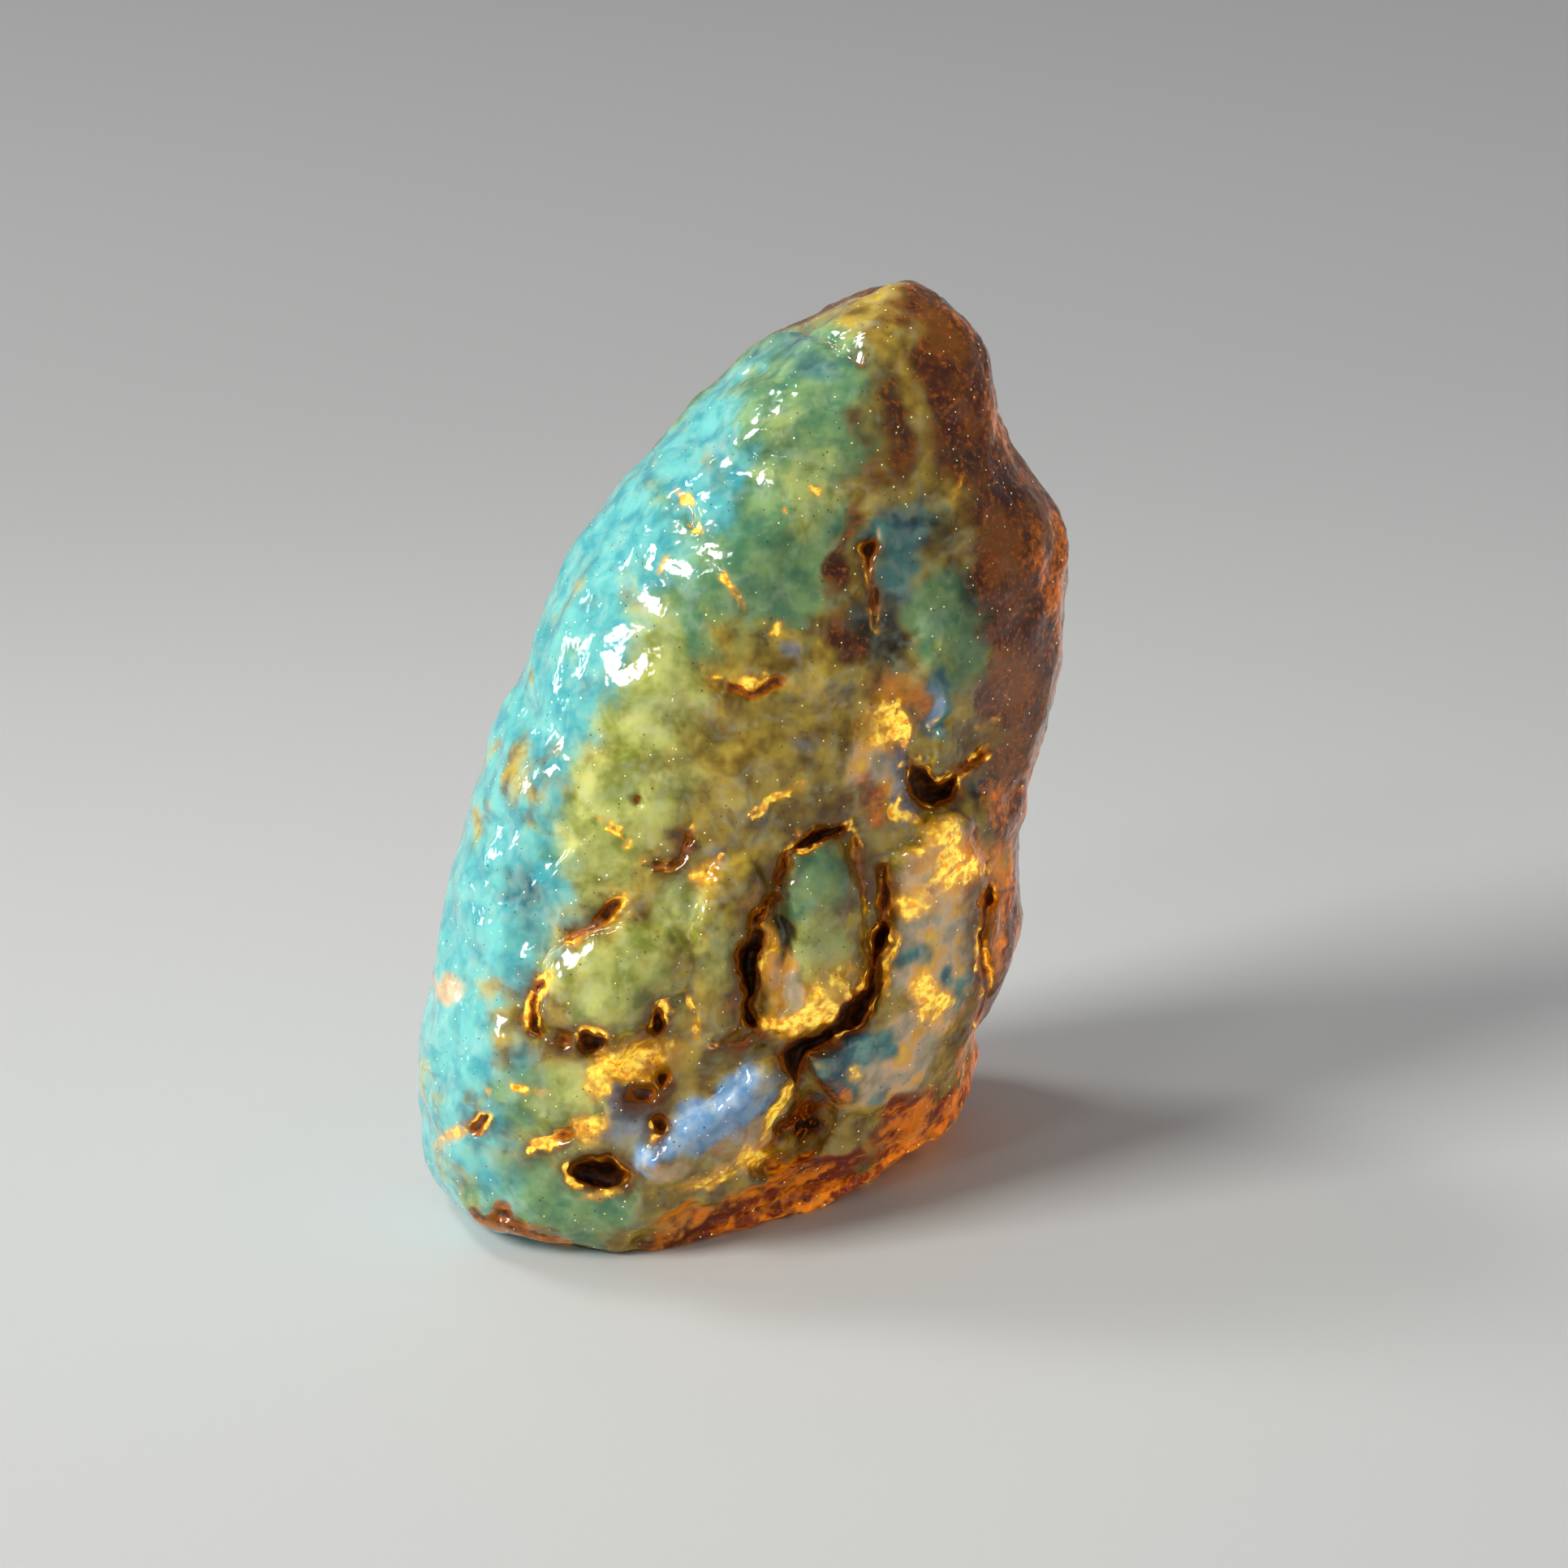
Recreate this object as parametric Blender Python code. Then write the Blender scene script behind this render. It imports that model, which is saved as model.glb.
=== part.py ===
"""A rough lump of blue amber that stands on its flat underside.

The lump is one piece. Its body is a stack of turned oval sections. Its front and its back each
carry lobes, channels and pits, drawn as seen from that side and sunk or raised along the line of
sight. Lengths are in millimetres until the mesh is made. +X is the lump's right, +Y its back and
+Z up. The origin is on the table, under the middle of the lump's box.
"""

import math
from collections import namedtuple

import bpy
import numpy as np
from mathutils import Vector, noise

MM = 0.001

# Driving dimensions
HEIGHT = 71.6
CORNER = 2.35  # 2 makes each section an ellipse, and more makes it squarer
UNDERSIDE_ROUNDING = 4.5
UNDERSIDE_INSET = 1.8
CROWN_ROUNDING = 5.0
LIFT_START = 5.0  # right of this x the underside curves up off the table
LIFT_END = 19.0
LIFT = 2.0
LIFT_REACH = 18.0  # how far up the body the lift still shows
SUNK = 0.4  # the body goes this far below the table, where it is cut off flat

# How the front is seen: from this far above the table, and from this distance
FRONT_ELEVATION = math.radians(20.0)
FRONT_DISTANCE = 340.0
FRONT_AIM = (3.6, 0.0, 32.5)
FRONT_FOOT = -36.4  # what is drawn at height 0 lies this far below the aim

# Detail of the worked mesh, and of the finished solid
RINGS = 220
RING_POINTS = 400
CURVE_STEPS = 6
REMESH_SIZE = 0.42
TRIANGLES = 9200

Section = namedtuple("Section", "height left right depth middle turn")
SECTIONS = (
    Section(0.0, -22.2, 19.4, 26.5, 0.2, 36.0),
    Section(4.0, -24.0, 19.6, 28.0, 0.0, 36.0),
    Section(8.0, -24.8, 19.2, 29.0, 0.0, 35.0),
    Section(12.0, -24.8, 20.6, 29.5, 0.0, 34.0),
    Section(18.0, -23.9, 22.5, 30.0, 0.0, 32.0),
    Section(24.0, -22.8, 22.3, 30.0, 0.0, 31.0),
    Section(30.0, -21.0, 22.9, 29.5, 0.0, 30.0),
    Section(36.0, -19.2, 24.5, 29.0, 0.5, 29.0),
    Section(42.0, -16.9, 25.3, 28.5, 1.0, 28.0),
    Section(48.0, -14.8, 25.4, 27.5, 1.0, 27.0),
    Section(52.0, -12.5, 25.4, 26.0, 1.5, 26.0),
    Section(56.0, -9.6, 23.1, 24.0, 1.5, 25.0),
    Section(60.0, -6.0, 20.7, 21.5, 2.0, 24.0),
    Section(64.0, -1.6, 19.5, 18.5, 2.0, 22.0),
    Section(68.0, 3.9, 18.2, 14.5, 2.5, 20.0),
    Section(71.6, 8.8, 16.4, 9.5, 3.0, 18.0),
)

# Shapes drawn on the front or the back, each point as (right, up) from the foot's middle.
# A lobe stands out by its height inside its outline, and sinks where that is negative.
# A channel has a width at each end. A mound is a soft oval swell, or a dip where negative.
Lobe = namedtuple("Lobe", "outline height edge")
Channel = namedtuple("Channel", "route start_width end_width depth")
Mound = namedtuple("Mound", "place across along turn height")
Pit = namedtuple("Pit", "place across along turn depth")

TONGUE = (
    (4.0, 31.0), (7.1, 32.1), (8.7, 30.6), (9.7, 27.9), (10.1, 24.8), (9.8, 21.3),
    (8.0, 18.6), (5.1, 16.8), (2.7, 17.3), (2.6, 20.0), (3.7, 23.5), (4.0, 27.3),
)
BANK = ((3.3, 27.6), (2.3, 25.7), (1.8, 22.9), (1.6, 19.7), (2.5, 17.3), (3.7, 19.1), (4.0, 22.9))
RIGHT_LOBE = (
    (12.3, 30.5), (14.6, 33.6), (17.0, 34.3), (18.9, 31.1), (19.2, 27.3), (18.4, 21.6),
    (17.7, 15.9), (15.3, 13.0), (12.1, 11.0), (8.3, 10.7), (6.0, 12.2), (5.5, 14.5),
    (8.3, 16.5), (10.5, 19.4), (11.8, 22.9), (12.2, 26.7),
)
BLUE_LOBE = (
    (3.1, 15.5), (4.2, 14.3), (3.9, 12.4), (2.3, 9.7), (1.2, 7.0), (-0.3, 5.6),
    (-3.8, 5.0), (-6.9, 5.6), (-7.6, 7.7), (-5.3, 9.8), (-1.8, 12.1), (0.7, 14.6),
)
COLUMN = (
    (-1.8, 29.5), (1.3, 30.5), (2.6, 27.9), (1.0, 24.8), (0.4, 20.3), (-0.3, 16.5),
    (-3.1, 16.2), (-4.1, 21.6), (-3.8, 25.4),
)
OLIVE_LOBE = (
    (-14.5, 23.5), (-9.5, 26.0), (-5.0, 24.8), (-3.8, 21.0), (-6.0, 19.1), (-8.2, 17.0),
    (-10.7, 15.8), (-13.9, 16.4), (-15.8, 18.4), (-15.5, 21.3),
)
LOWER_CAVITY = (
    (4.8, 14.8), (6.2, 12.8), (7.8, 10.6), (7.2, 8.0), (4.5, 6.6), (1.8, 5.6),
    (1.3, 7.0), (2.8, 9.5), (4.2, 12.2),
)
GOLD_HOLLOW = ((-12.8, 15.9), (-9.8, 14.9), (-7.4, 16.4), (-5.6, 16.6), (-6.0, 14.0), (-8.4, 12.6))
FLAKE = ((-20.1, 33.6), (-17.1, 33.5), (-12.9, 32.0), (-13.9, 30.3), (-16.4, 27.9), (-18.9, 27.2))
FLAP = ((15.3, 40.3), (17.3, 40.7), (17.8, 39.0), (16.2, 37.1), (14.5, 36.8))
SKIRT = (
    (-6.3, 2.6), (-1.8, 3.9), (4.1, 6.0), (9.6, 7.5), (14.0, 9.6), (17.2, 12.4),
    (18.2, 15.3), (24.0, 15.0), (24.0, -4.0), (-9.0, -4.0),
)

FRONT_LOBES = (
    Lobe(TONGUE, 1.8, 2.4),
    Lobe(RIGHT_LOBE, 2.8, 3.4),
    Lobe(BLUE_LOBE, 2.7, 2.4),
    Lobe(COLUMN, 1.2, 1.8),
    Lobe(OLIVE_LOBE, 1.8, 2.4),
    Lobe(FLAP, 1.2, 0.8),
    Lobe(BANK, -1.8, 0.9),
    Lobe(LOWER_CAVITY, -3.2, 1.2),
    Lobe(GOLD_HOLLOW, -1.5, 0.9),
    Lobe(FLAKE, -0.7, 1.2),
    Lobe(SKIRT, -1.6, 1.4),
)
FRONT_MOUNDS = (
    Mound((7.6, 19.6), 3.6, 3.2, 0.0, 1.3),
    Mound((9.3, 72.0), 5.5, 3.0, -25.0, 0.9),
    Mound((1.8, 65.0), 5.5, 3.6, 20.0, 0.9),
    Mound((10.8, 46.9), 4.5, 7.0, 0.0, -1.1),
    Mound((17.4, 45.5), 6.0, 5.5, 20.0, 1.0),
    Mound((18.0, 36.0), 8.0, 3.4, 15.0, -1.9),
    Mound((-16.5, 25.5), 2.6, 3.6, -20.0, -0.9),
    Mound((-20.0, 13.5), 5.0, 8.5, 0.0, 0.9),
    Mound((-16.5, 36.5), 4.0, 4.5, 30.0, 0.8),
    Mound((-8.0, 42.0), 6.0, 9.0, -15.0, 0.6),
    Mound((1.0, 55.0), 8.0, 7.0, 30.0, 0.7),
    Mound((5.0, 37.0), 6.0, 4.0, 10.0, 0.6),
    Mound((3.4, 8.1), 1.5, 1.2, 30.0, 2.0),
)
FRONT_CHANNELS = (
    Channel(((8.9, 33.7), (7.1, 32.6), (5.1, 32.2), (3.6, 31.4)), 1.1, 0.9, 3.0),
    Channel(((3.6, 31.6), (3.3, 29.5), (3.1, 27.9), (1.8, 26.7), (1.1, 24.7)), 1.1, 1.4, 4.0),
    Channel(((1.3, 25.4), (0.9, 22.2), (0.7, 19.8), (0.9, 18.1), (2.0, 16.7)), 1.4, 1.5, 4.4),
    Channel(((11.5, 30.8), (11.6, 26.8), (11.5, 25.1)), 0.5, 1.0, 2.4),
    Channel(((11.6, 26.0), (10.9, 22.7), (10.3, 20.6), (8.9, 18.5), (7.1, 16.9)), 1.2, 2.1, 5.0),
    Channel(((8.0, 17.6), (6.6, 16.4), (5.1, 15.9), (4.2, 14.9), (4.4, 12.6)), 2.1, 1.2, 4.2),
    Channel(((9.0, 33.0), (9.4, 30.3), (9.9, 28.1), (10.4, 25.7)), 0.7, 0.6, 1.6),
    Channel(((19.2, 30.6), (19.4, 27.3), (18.8, 24.8), (19.1, 21.6), (18.8, 17.0)), 1.2, 0.8, 2.6),
    Channel(((13.6, 38.6), (14.6, 35.9), (16.2, 36.2), (18.1, 38.2), (20.0, 39.4)), 2.2, 0.8, 3.2),
    Channel(((-14.6, 21.6), (-16.1, 19.8), (-15.9, 17.7), (-14.9, 16.2)), 0.8, 1.0, 1.9),
    Channel(((-6.9, 30.5), (-5.5, 30.1), (-4.3, 31.0), (-3.5, 33.1)), 1.1, 0.6, 2.0),
    Channel(((-14.8, 24.3), (-12.0, 25.1), (-10.2, 26.4), (-8.9, 27.9)), 0.7, 0.9, 1.1),
    Channel(((10.8, 56.1), (10.1, 53.6), (10.3, 51.4), (10.8, 48.6)), 0.8, 0.7, 1.6),
    Channel(((2.9, 72.4), (4.8, 71.7), (7.3, 70.5), (10.1, 68.8)), 1.2, 0.8, 0.7),
    Channel(((-1.9, 66.6), (0.4, 67.9), (2.9, 67.9), (5.1, 66.1)), 0.9, 0.9, 0.6),
    Channel(((-1.5, 44.6), (0.6, 43.6), (2.6, 44.3), (4.6, 44.0)), 1.5, 1.0, 0.9),
    Channel(((1.2, 34.3), (4.6, 36.6)), 0.8, 0.6, 0.7),
    Channel(((-12.1, 35.0), (-10.4, 33.1), (-8.7, 31.5)), 0.5, 0.6, 0.7),
    Channel(((-4.4, 59.5), (-3.3, 57.1), (-2.2, 54.5), (-0.7, 51.8)), 0.7, 0.4, 0.7),
    Channel(((-7.5, 35.9), (-7.5, 34.5)), 0.9, 0.7, 0.9),
    Channel(((-20.8, 9.0), (-19.8, 10.8)), 0.8, 0.7, 1.3),
    Channel(((-20.8, 3.6), (-18.5, 2.5), (-15.5, 1.2), (-12.6, 0.1)), 0.9, 0.9, 0.9),
    Channel(((-4.0, 1.8), (4.6, 4.2), (10.6, 5.9), (15.6, 8.4)), 0.9, 0.9, 0.7),
    Channel(((-2.6, 16.4), (-1.2, 15.9), (0.4, 16.0), (1.8, 16.9)), 0.7, 0.9, 1.5),
)
FRONT_PITS = (
    Pit((-10.8, 6.0), 2.5, 1.45, -4.0, 3.0),
    Pit((-11.4, 16.3), 1.25, 0.95, 30.0, 2.2),
    Pit((-13.5, 16.4), 0.8, 0.5, 0.0, 1.2),
    Pit((-6.5, 18.0), 0.7, 1.25, -25.0, 2.2),
    Pit((-5.8, 13.3), 0.6, 1.1, 0.0, 2.0),
    Pit((-6.2, 9.9), 0.6, 0.9, 0.0, 1.8),
    Pit((-7.6, 11.9), 1.3, 0.7, 10.0, 1.2),
    Pit((-13.8, 8.6), 1.5, 0.5, 25.0, 0.9),
)
LONG_FOLD = (
    (-18.0, 30.0), (-10.0, 26.0), (-3.0, 20.0), (4.0, 12.5), (10.5, 8.5), (14.5, 12.5),
    (9.0, 19.5), (2.0, 27.5), (-6.0, 33.0), (-14.0, 36.5),
)
HIGH_SCOOP = ((2.0, 44.0), (8.0, 41.0), (13.0, 45.0), (11.0, 53.0), (4.0, 55.0), (0.5, 50.0))
SIDE_SWELL = ((8.0, 24.0), (15.0, 20.0), (19.5, 26.0), (17.5, 35.0), (11.0, 36.0))

BACK_LOBES = (
    Lobe(LONG_FOLD, 1.6, 3.2),
    Lobe(SIDE_SWELL, 1.1, 2.6),
    Lobe(HIGH_SCOOP, -1.2, 2.6),
)
BACK_MOUNDS = (
    Mound((-9.0, 50.0), 5.0, 6.0, 20.0, 1.0),
    Mound((-12.0, 14.0), 6.0, 5.0, 30.0, 1.0),
    Mound((-2.0, 40.0), 4.5, 3.5, -30.0, -1.0),
    Mound((0.5, 62.0), 4.0, 4.5, 0.0, 0.8),
)
BACK_CHANNELS = (
    Channel(((-19.5, 29.0), (-11.0, 24.0), (-4.5, 18.5), (1.5, 11.8), (6.0, 7.0)), 1.0, 1.6, 2.6),
    Channel(((15.5, 14.0), (10.5, 20.5), (7.0, 24.0), (4.0, 29.0)), 1.1, 0.6, 1.8),
    Channel(((-3.5, 62.0), (-6.0, 56.5), (-5.0, 50.0), (-9.5, 44.0)), 0.6, 0.9, 1.2),
    Channel(((14.0, 39.0), (10.0, 38.0), (5.0, 41.5)), 0.7, 1.0, 1.3),
    Channel(((-4.5, 18.5), (-8.0, 12.5), (-7.0, 7.0)), 1.0, 0.5, 1.4),
)
BACK_PITS = (
    Pit((-13.5, 27.5), 1.8, 0.8, -32.0, 1.6),
    Pit((-0.5, 16.5), 1.5, 0.8, -48.0, 1.5),
    Pit((6.8, 31.5), 1.5, 0.8, 55.0, 1.4),
    Pit((-10.5, 40.0), 0.8, 1.3, 20.0, 1.2),
    Pit((17.2, 27.0), 0.6, 1.4, 10.0, 1.2),
    Pit((3.0, 48.0), 1.1, 0.7, 10.0, 0.9),
)

# The lump's small unevenness, each as how far apart its swells lie and how high they are
SWELLS = ((9.0, 0.35), (3.6, 0.24))
BACK_SWELLS = ((12.0, 0.9), (4.4, 0.3))
EDGE_WANDER = (2.4, 0.3)


def section_at(heights):
    """The section's values at each height, on smooth curves through SECTIONS."""
    rows = np.array(SECTIONS)
    known = rows[:, 0]
    slopes = np.gradient(rows, known, axis=0)
    below = np.clip(np.searchsorted(known, heights, side="right") - 1, 0, len(known) - 2)
    gap = (known[below + 1] - known[below])[:, None]
    t = ((heights - known[below])[:, None]) / gap
    values = (
        (2 * t**3 - 3 * t**2 + 1) * rows[below]
        + (t**3 - 2 * t**2 + t) * gap * slopes[below]
        + (3 * t**2 - 2 * t**3) * rows[below + 1]
        + (t**3 - t**2) * gap * slopes[below + 1]
    )
    return Section(*values.T)


def ring(section, inset):
    """The points of one horizontal section, drawn in from its full size by the inset."""
    angles = np.linspace(0.0, 2 * math.pi, RING_POINTS, endpoint=False)
    turn = math.radians(section.turn)
    half_width = (section.right - section.left) / 2
    half_depth = section.depth / 2
    half_length = math.sqrt(half_width**2 - (half_depth * math.sin(turn)) ** 2) / math.cos(turn)
    along = half_length * np.sign(np.cos(angles)) * np.abs(np.cos(angles)) ** (2 / CORNER)
    across = half_depth * np.sign(np.sin(angles)) * np.abs(np.sin(angles)) ** (2 / CORNER)
    x = along * math.cos(turn) - across * math.sin(turn)
    y = along * math.sin(turn) + across * math.cos(turn)
    x *= half_width / x.max()
    shrink = 1 - inset / half_depth
    middle_x = (section.left + section.right) / 2
    return np.stack([middle_x + x * shrink, section.middle + y * shrink], axis=1)


def inset_at(height, section):
    """How far a ring is drawn in where the body rounds into its underside and its crown."""
    if height < UNDERSIDE_ROUNDING:
        rise = 1 - max(height, 0.0) / UNDERSIDE_ROUNDING
        return UNDERSIDE_INSET * (1 - math.sqrt(1 - rise**2))
    if height > HEIGHT - CROWN_ROUNDING:
        rise = 1 - (HEIGHT - height) / CROWN_ROUNDING
        return section.depth / 2 * (1 - math.sqrt(1 - rise**2))
    return 0.0


def body_points():
    """Rings of points from below the table to the crown, as an array of rings x points x 3."""
    rise = 0.5 - 0.5 * np.cos(np.linspace(0.0, math.pi, RINGS))
    heights = -SUNK + (HEIGHT + SUNK) * (rise + np.linspace(0.0, 1.0, RINGS)) / 2
    heights[-1] = HEIGHT - 0.02
    values = section_at(heights)
    rings = []
    for i, height in enumerate(heights):
        section = Section(*(column[i] for column in values))
        flat = ring(section, inset_at(height, section))
        rings.append(np.column_stack([flat, np.full(RING_POINTS, height)]))
    points = np.array(rings)
    reach = smooth_step(LIFT_START, LIFT_END, points[..., 0])
    fade = np.clip(1 - points[..., 2] / LIFT_REACH, 0.0, 1.0)
    points[..., 2] += LIFT * reach * fade**2
    return points


def smooth_step(start, end, values):
    """0 before the start, 1 after the end, and an even curve between."""
    t = np.clip((values - start) / (end - start), 0.0, 1.0)
    return t * t * (3 - 2 * t)


def outward_directions(points):
    """The body's outward direction at each point of its rings."""
    along = np.roll(points, -1, axis=1) - np.roll(points, 1, axis=1)
    upward = np.gradient(points, axis=0)
    out = np.cross(along, upward)
    return out / np.maximum(np.linalg.norm(out, axis=2, keepdims=True), 1e-9)


def smooth_curve(points, closed):
    """A smooth curve through the points, as a denser line."""
    known = np.array(points, dtype=float)
    if closed:
        padded = np.vstack([known[-1], known, known[0], known[1]])
    else:
        padded = np.vstack([2 * known[0] - known[1], known, 2 * known[-1] - known[-2]])
    dense = []
    for before, start, end, after in zip(padded, padded[1:], padded[2:], padded[3:]):
        for t in np.arange(CURVE_STEPS) / CURVE_STEPS:
            dense.append(
                0.5 * (2 * start + (end - before) * t
                       + (2 * before - 5 * start + 4 * end - after) * t**2
                       + (3 * start - before - 3 * end + after) * t**3)
            )
    dense.append(known[0] if closed else known[-1])
    return np.array(dense)


def distance_to(line, u, v):
    """Each place's distance from the line, and how far along the line, from 0 to 1, it is."""
    best = np.full(u.shape, 1e9)
    along = np.zeros(u.shape)
    lengths = np.linalg.norm(np.diff(line, axis=0), axis=1)
    total = lengths.sum()
    gone = 0.0
    for start, end, length in zip(line, line[1:], lengths):
        step = (end - start) / max(length, 1e-9)
        t = np.clip((u - start[0]) * step[0] + (v - start[1]) * step[1], 0.0, length)
        gap = np.hypot(u - start[0] - t * step[0], v - start[1] - t * step[1])
        nearer = gap < best
        best[nearer] = gap[nearer]
        along[nearer] = (gone + t[nearer]) / total
        gone += length
    return best, along


def inside(line, u, v):
    """Whether each place lies inside the closed line."""
    within = np.zeros(u.shape, dtype=bool)
    for start, end in zip(line, line[1:]):
        crosses = (start[1] > v) != (end[1] > v)
        rise = end[1] - start[1]
        safe = rise if abs(rise) > 1e-12 else 1e-12
        within ^= crosses & (u < (end[0] - start[0]) * (v - start[1]) / safe + start[0])
    return within


def lobe_height(lobe, u, v):
    line = smooth_curve(lobe.outline, closed=True)
    height = np.zeros(u.shape)
    low, high = line.min(axis=0), line.max(axis=0)
    near = (u > low[0]) & (u < high[0]) & (v > low[1]) & (v < high[1])
    near[near] = inside(line, u[near], v[near])
    gap, _ = distance_to(line, u[near], v[near])
    rise = 1 - np.minimum(gap / lobe.edge, 1.0)
    height[near] = lobe.height * np.sqrt(1 - rise**2)
    return height


def channel_height(channel, u, v):
    line = smooth_curve(channel.route, closed=False)
    height = np.zeros(u.shape)
    margin = max(channel.start_width, channel.end_width)
    low, high = line.min(axis=0) - margin, line.max(axis=0) + margin
    near = (u > low[0]) & (u < high[0]) & (v > low[1]) & (v < high[1])
    gap, along = distance_to(line, u[near], v[near])
    width = channel.start_width + (channel.end_width - channel.start_width) * along
    rounding = np.clip(np.minimum(along, 1 - along) / 0.2, 0.25, 1.0)
    ratio = np.minimum(gap / (width / 2 * np.sqrt(rounding)), 1.0)
    height[near] = -channel.depth * rounding * np.sqrt(1 - ratio**2)
    return height


def oval_reach(place, across, along, turn, u, v):
    """0 at the middle of a turned oval, and 1 at its rim."""
    turn = math.radians(turn)
    du, dv = u - place[0], v - place[1]
    first = (du * math.cos(turn) + dv * math.sin(turn)) / across
    second = (dv * math.cos(turn) - du * math.sin(turn)) / along
    return np.hypot(first, second)


def mound_height(mound, u, v):
    reach = np.minimum(oval_reach(mound.place, mound.across, mound.along, mound.turn, u, v), 1.0)
    return mound.height * (1 - reach**2) ** 2


def pit_height(pit, u, v):
    reach = np.minimum(oval_reach(pit.place, pit.across, pit.along, pit.turn, u, v), 1.0)
    return -pit.depth * np.sqrt(1 - reach**4)


def drawn_height(lobes, mounds, channels, pits, u, v):
    """How far all the shapes drawn on one side raise the surface at each place."""
    height = np.zeros(u.shape)
    for shapes, height_of in (
        (lobes, lobe_height), (mounds, mound_height), (channels, channel_height), (pits, pit_height)
    ):
        for shape in shapes:
            height += height_of(shape, u, v)
    return height


def swell_at(points, spacing, seed):
    """Smooth noise between about -1 and 1, with swells about the spacing apart."""
    offset = Vector((seed * 17.3, seed * 5.9, seed * 9.7))
    flat = points.reshape(-1, 3) / spacing
    values = [noise.noise(Vector(point) + offset) for point in flat.tolist()]
    return np.array(values).reshape(points.shape[:-1]) * 2


def front_view(points):
    """Where the front shows each point, right and up from the foot, and the sight line to it."""
    forward = np.array([0.0, math.cos(FRONT_ELEVATION), -math.sin(FRONT_ELEVATION)])
    upward = np.array([0.0, math.sin(FRONT_ELEVATION), math.cos(FRONT_ELEVATION)])
    eye = np.array(FRONT_AIM) - forward * FRONT_DISTANCE
    sight = points - eye
    depth = sight @ forward
    u = sight[..., 0] * FRONT_DISTANCE / depth + FRONT_AIM[0]
    v = sight @ upward * FRONT_DISTANCE / depth - FRONT_FOOT
    return u, v, -sight / np.linalg.norm(sight, axis=-1, keepdims=True)


def wandered(u, v):
    """The places, moved a little so that what is drawn there has uneven edges."""
    spacing, size = EDGE_WANDER
    flat = np.stack([u, v, np.zeros(u.shape)], axis=-1)
    return u + swell_at(flat, spacing, 1) * size, v + swell_at(flat, spacing, 2) * size


def worked_surface(points):
    """The body's points, moved by the shapes on its front and back and by small swells."""
    out = outward_directions(points)
    u, v, toward = front_view(points)
    facing = smooth_step(0.05, 0.4, (out * toward).sum(axis=2))
    raised = drawn_height(FRONT_LOBES, FRONT_MOUNDS, FRONT_CHANNELS, FRONT_PITS, *wandered(u, v))
    moved = points + toward * (raised * facing)[..., None]

    u, v = -points[..., 0], points[..., 2]
    behind = smooth_step(0.05, 0.5, out[..., 1]) * (1 - facing)
    raised = drawn_height(BACK_LOBES, BACK_MOUNDS, BACK_CHANNELS, BACK_PITS, *wandered(u, v))
    moved += np.array([0.0, 1.0, 0.0]) * (raised * behind)[..., None]

    away = smooth_step(-0.1, 0.6, -(out * toward).sum(axis=2))
    for seed, (swell, back_swell) in enumerate(zip(SWELLS, BACK_SWELLS)):
        everywhere = swell_at(points, swell[0], seed + 3) * swell[1]
        behind_only = swell_at(points, back_swell[0], seed + 6) * back_swell[1]
        moved += out * (everywhere + behind_only * away)[..., None]
    return moved


def centred(points):
    """The points, moved so that the middle of their box is over the origin."""
    middle = (points.min(axis=(0, 1)) + points.max(axis=(0, 1))) / 2
    return points - np.array([middle[0], middle[1], 0.0])


def lump_mesh(points):
    """A closed mesh over the rings, with its two ends filled."""
    count = points.shape[0]
    faces = []
    for row in range(count - 1):
        first, second = row * RING_POINTS, (row + 1) * RING_POINTS
        for i in range(RING_POINTS):
            j = (i + 1) % RING_POINTS
            faces.append((first + i, first + j, second + j, second + i))
    faces.append(tuple(reversed(range(RING_POINTS))))
    faces.append(tuple(range((count - 1) * RING_POINTS, count * RING_POINTS)))
    mesh = bpy.data.meshes.new("blue_amber")
    mesh.from_pydata((points.reshape(-1, 3) * MM).tolist(), [], faces)
    mesh.update()
    return mesh


def ground_block():
    """The cutter that leaves the underside flat: its top face is the table."""
    size = 120.0 * MM
    bpy.ops.mesh.primitive_cube_add(size=size, location=(0, 0, -size / 2))
    block = bpy.context.object
    block.name = "ground_cutter"
    block.hide_render = True
    block.display_type = "WIRE"
    return block


def amber_material():
    material = bpy.data.materials.new("blue_amber")
    material.use_nodes = True
    shader = material.node_tree.nodes["Principled BSDF"]
    shader.inputs["Base Color"].default_value = (0.23, 0.42, 0.25, 1.0)
    shader.inputs["Roughness"].default_value = 0.15
    shader.inputs["Metallic"].default_value = 0.0
    shader.inputs["Transmission Weight"].default_value = 0.4
    shader.inputs["IOR"].default_value = 1.54
    return material


def blue_amber():
    mesh = lump_mesh(centred(worked_surface(body_points())))
    amber = bpy.data.objects.new("blue_amber", mesh)
    bpy.context.scene.collection.objects.link(amber)
    mesh.materials.append(amber_material())

    remesh = amber.modifiers.new("remesh", "REMESH")
    remesh.mode = "VOXEL"
    remesh.voxel_size = REMESH_SIZE * MM
    bpy.context.view_layer.update()
    faces = len(amber.evaluated_get(bpy.context.evaluated_depsgraph_get()).data.polygons)
    decimate = amber.modifiers.new("decimate", "DECIMATE")
    decimate.ratio = TRIANGLES / (2 * faces)
    cut = amber.modifiers.new("flat underside", "BOOLEAN")
    cut.operation = "DIFFERENCE"
    cut.solver = "EXACT"
    cut.object = ground_block()
    return amber


def main():
    for obj in list(bpy.data.objects):
        bpy.data.objects.remove(obj)
    blue_amber()


main()
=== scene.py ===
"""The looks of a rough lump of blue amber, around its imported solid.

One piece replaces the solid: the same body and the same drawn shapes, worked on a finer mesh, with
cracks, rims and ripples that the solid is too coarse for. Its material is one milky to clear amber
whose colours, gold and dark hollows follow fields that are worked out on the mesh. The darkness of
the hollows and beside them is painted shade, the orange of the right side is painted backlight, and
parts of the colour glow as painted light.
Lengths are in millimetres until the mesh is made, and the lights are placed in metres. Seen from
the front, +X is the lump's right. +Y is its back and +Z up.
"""

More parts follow.
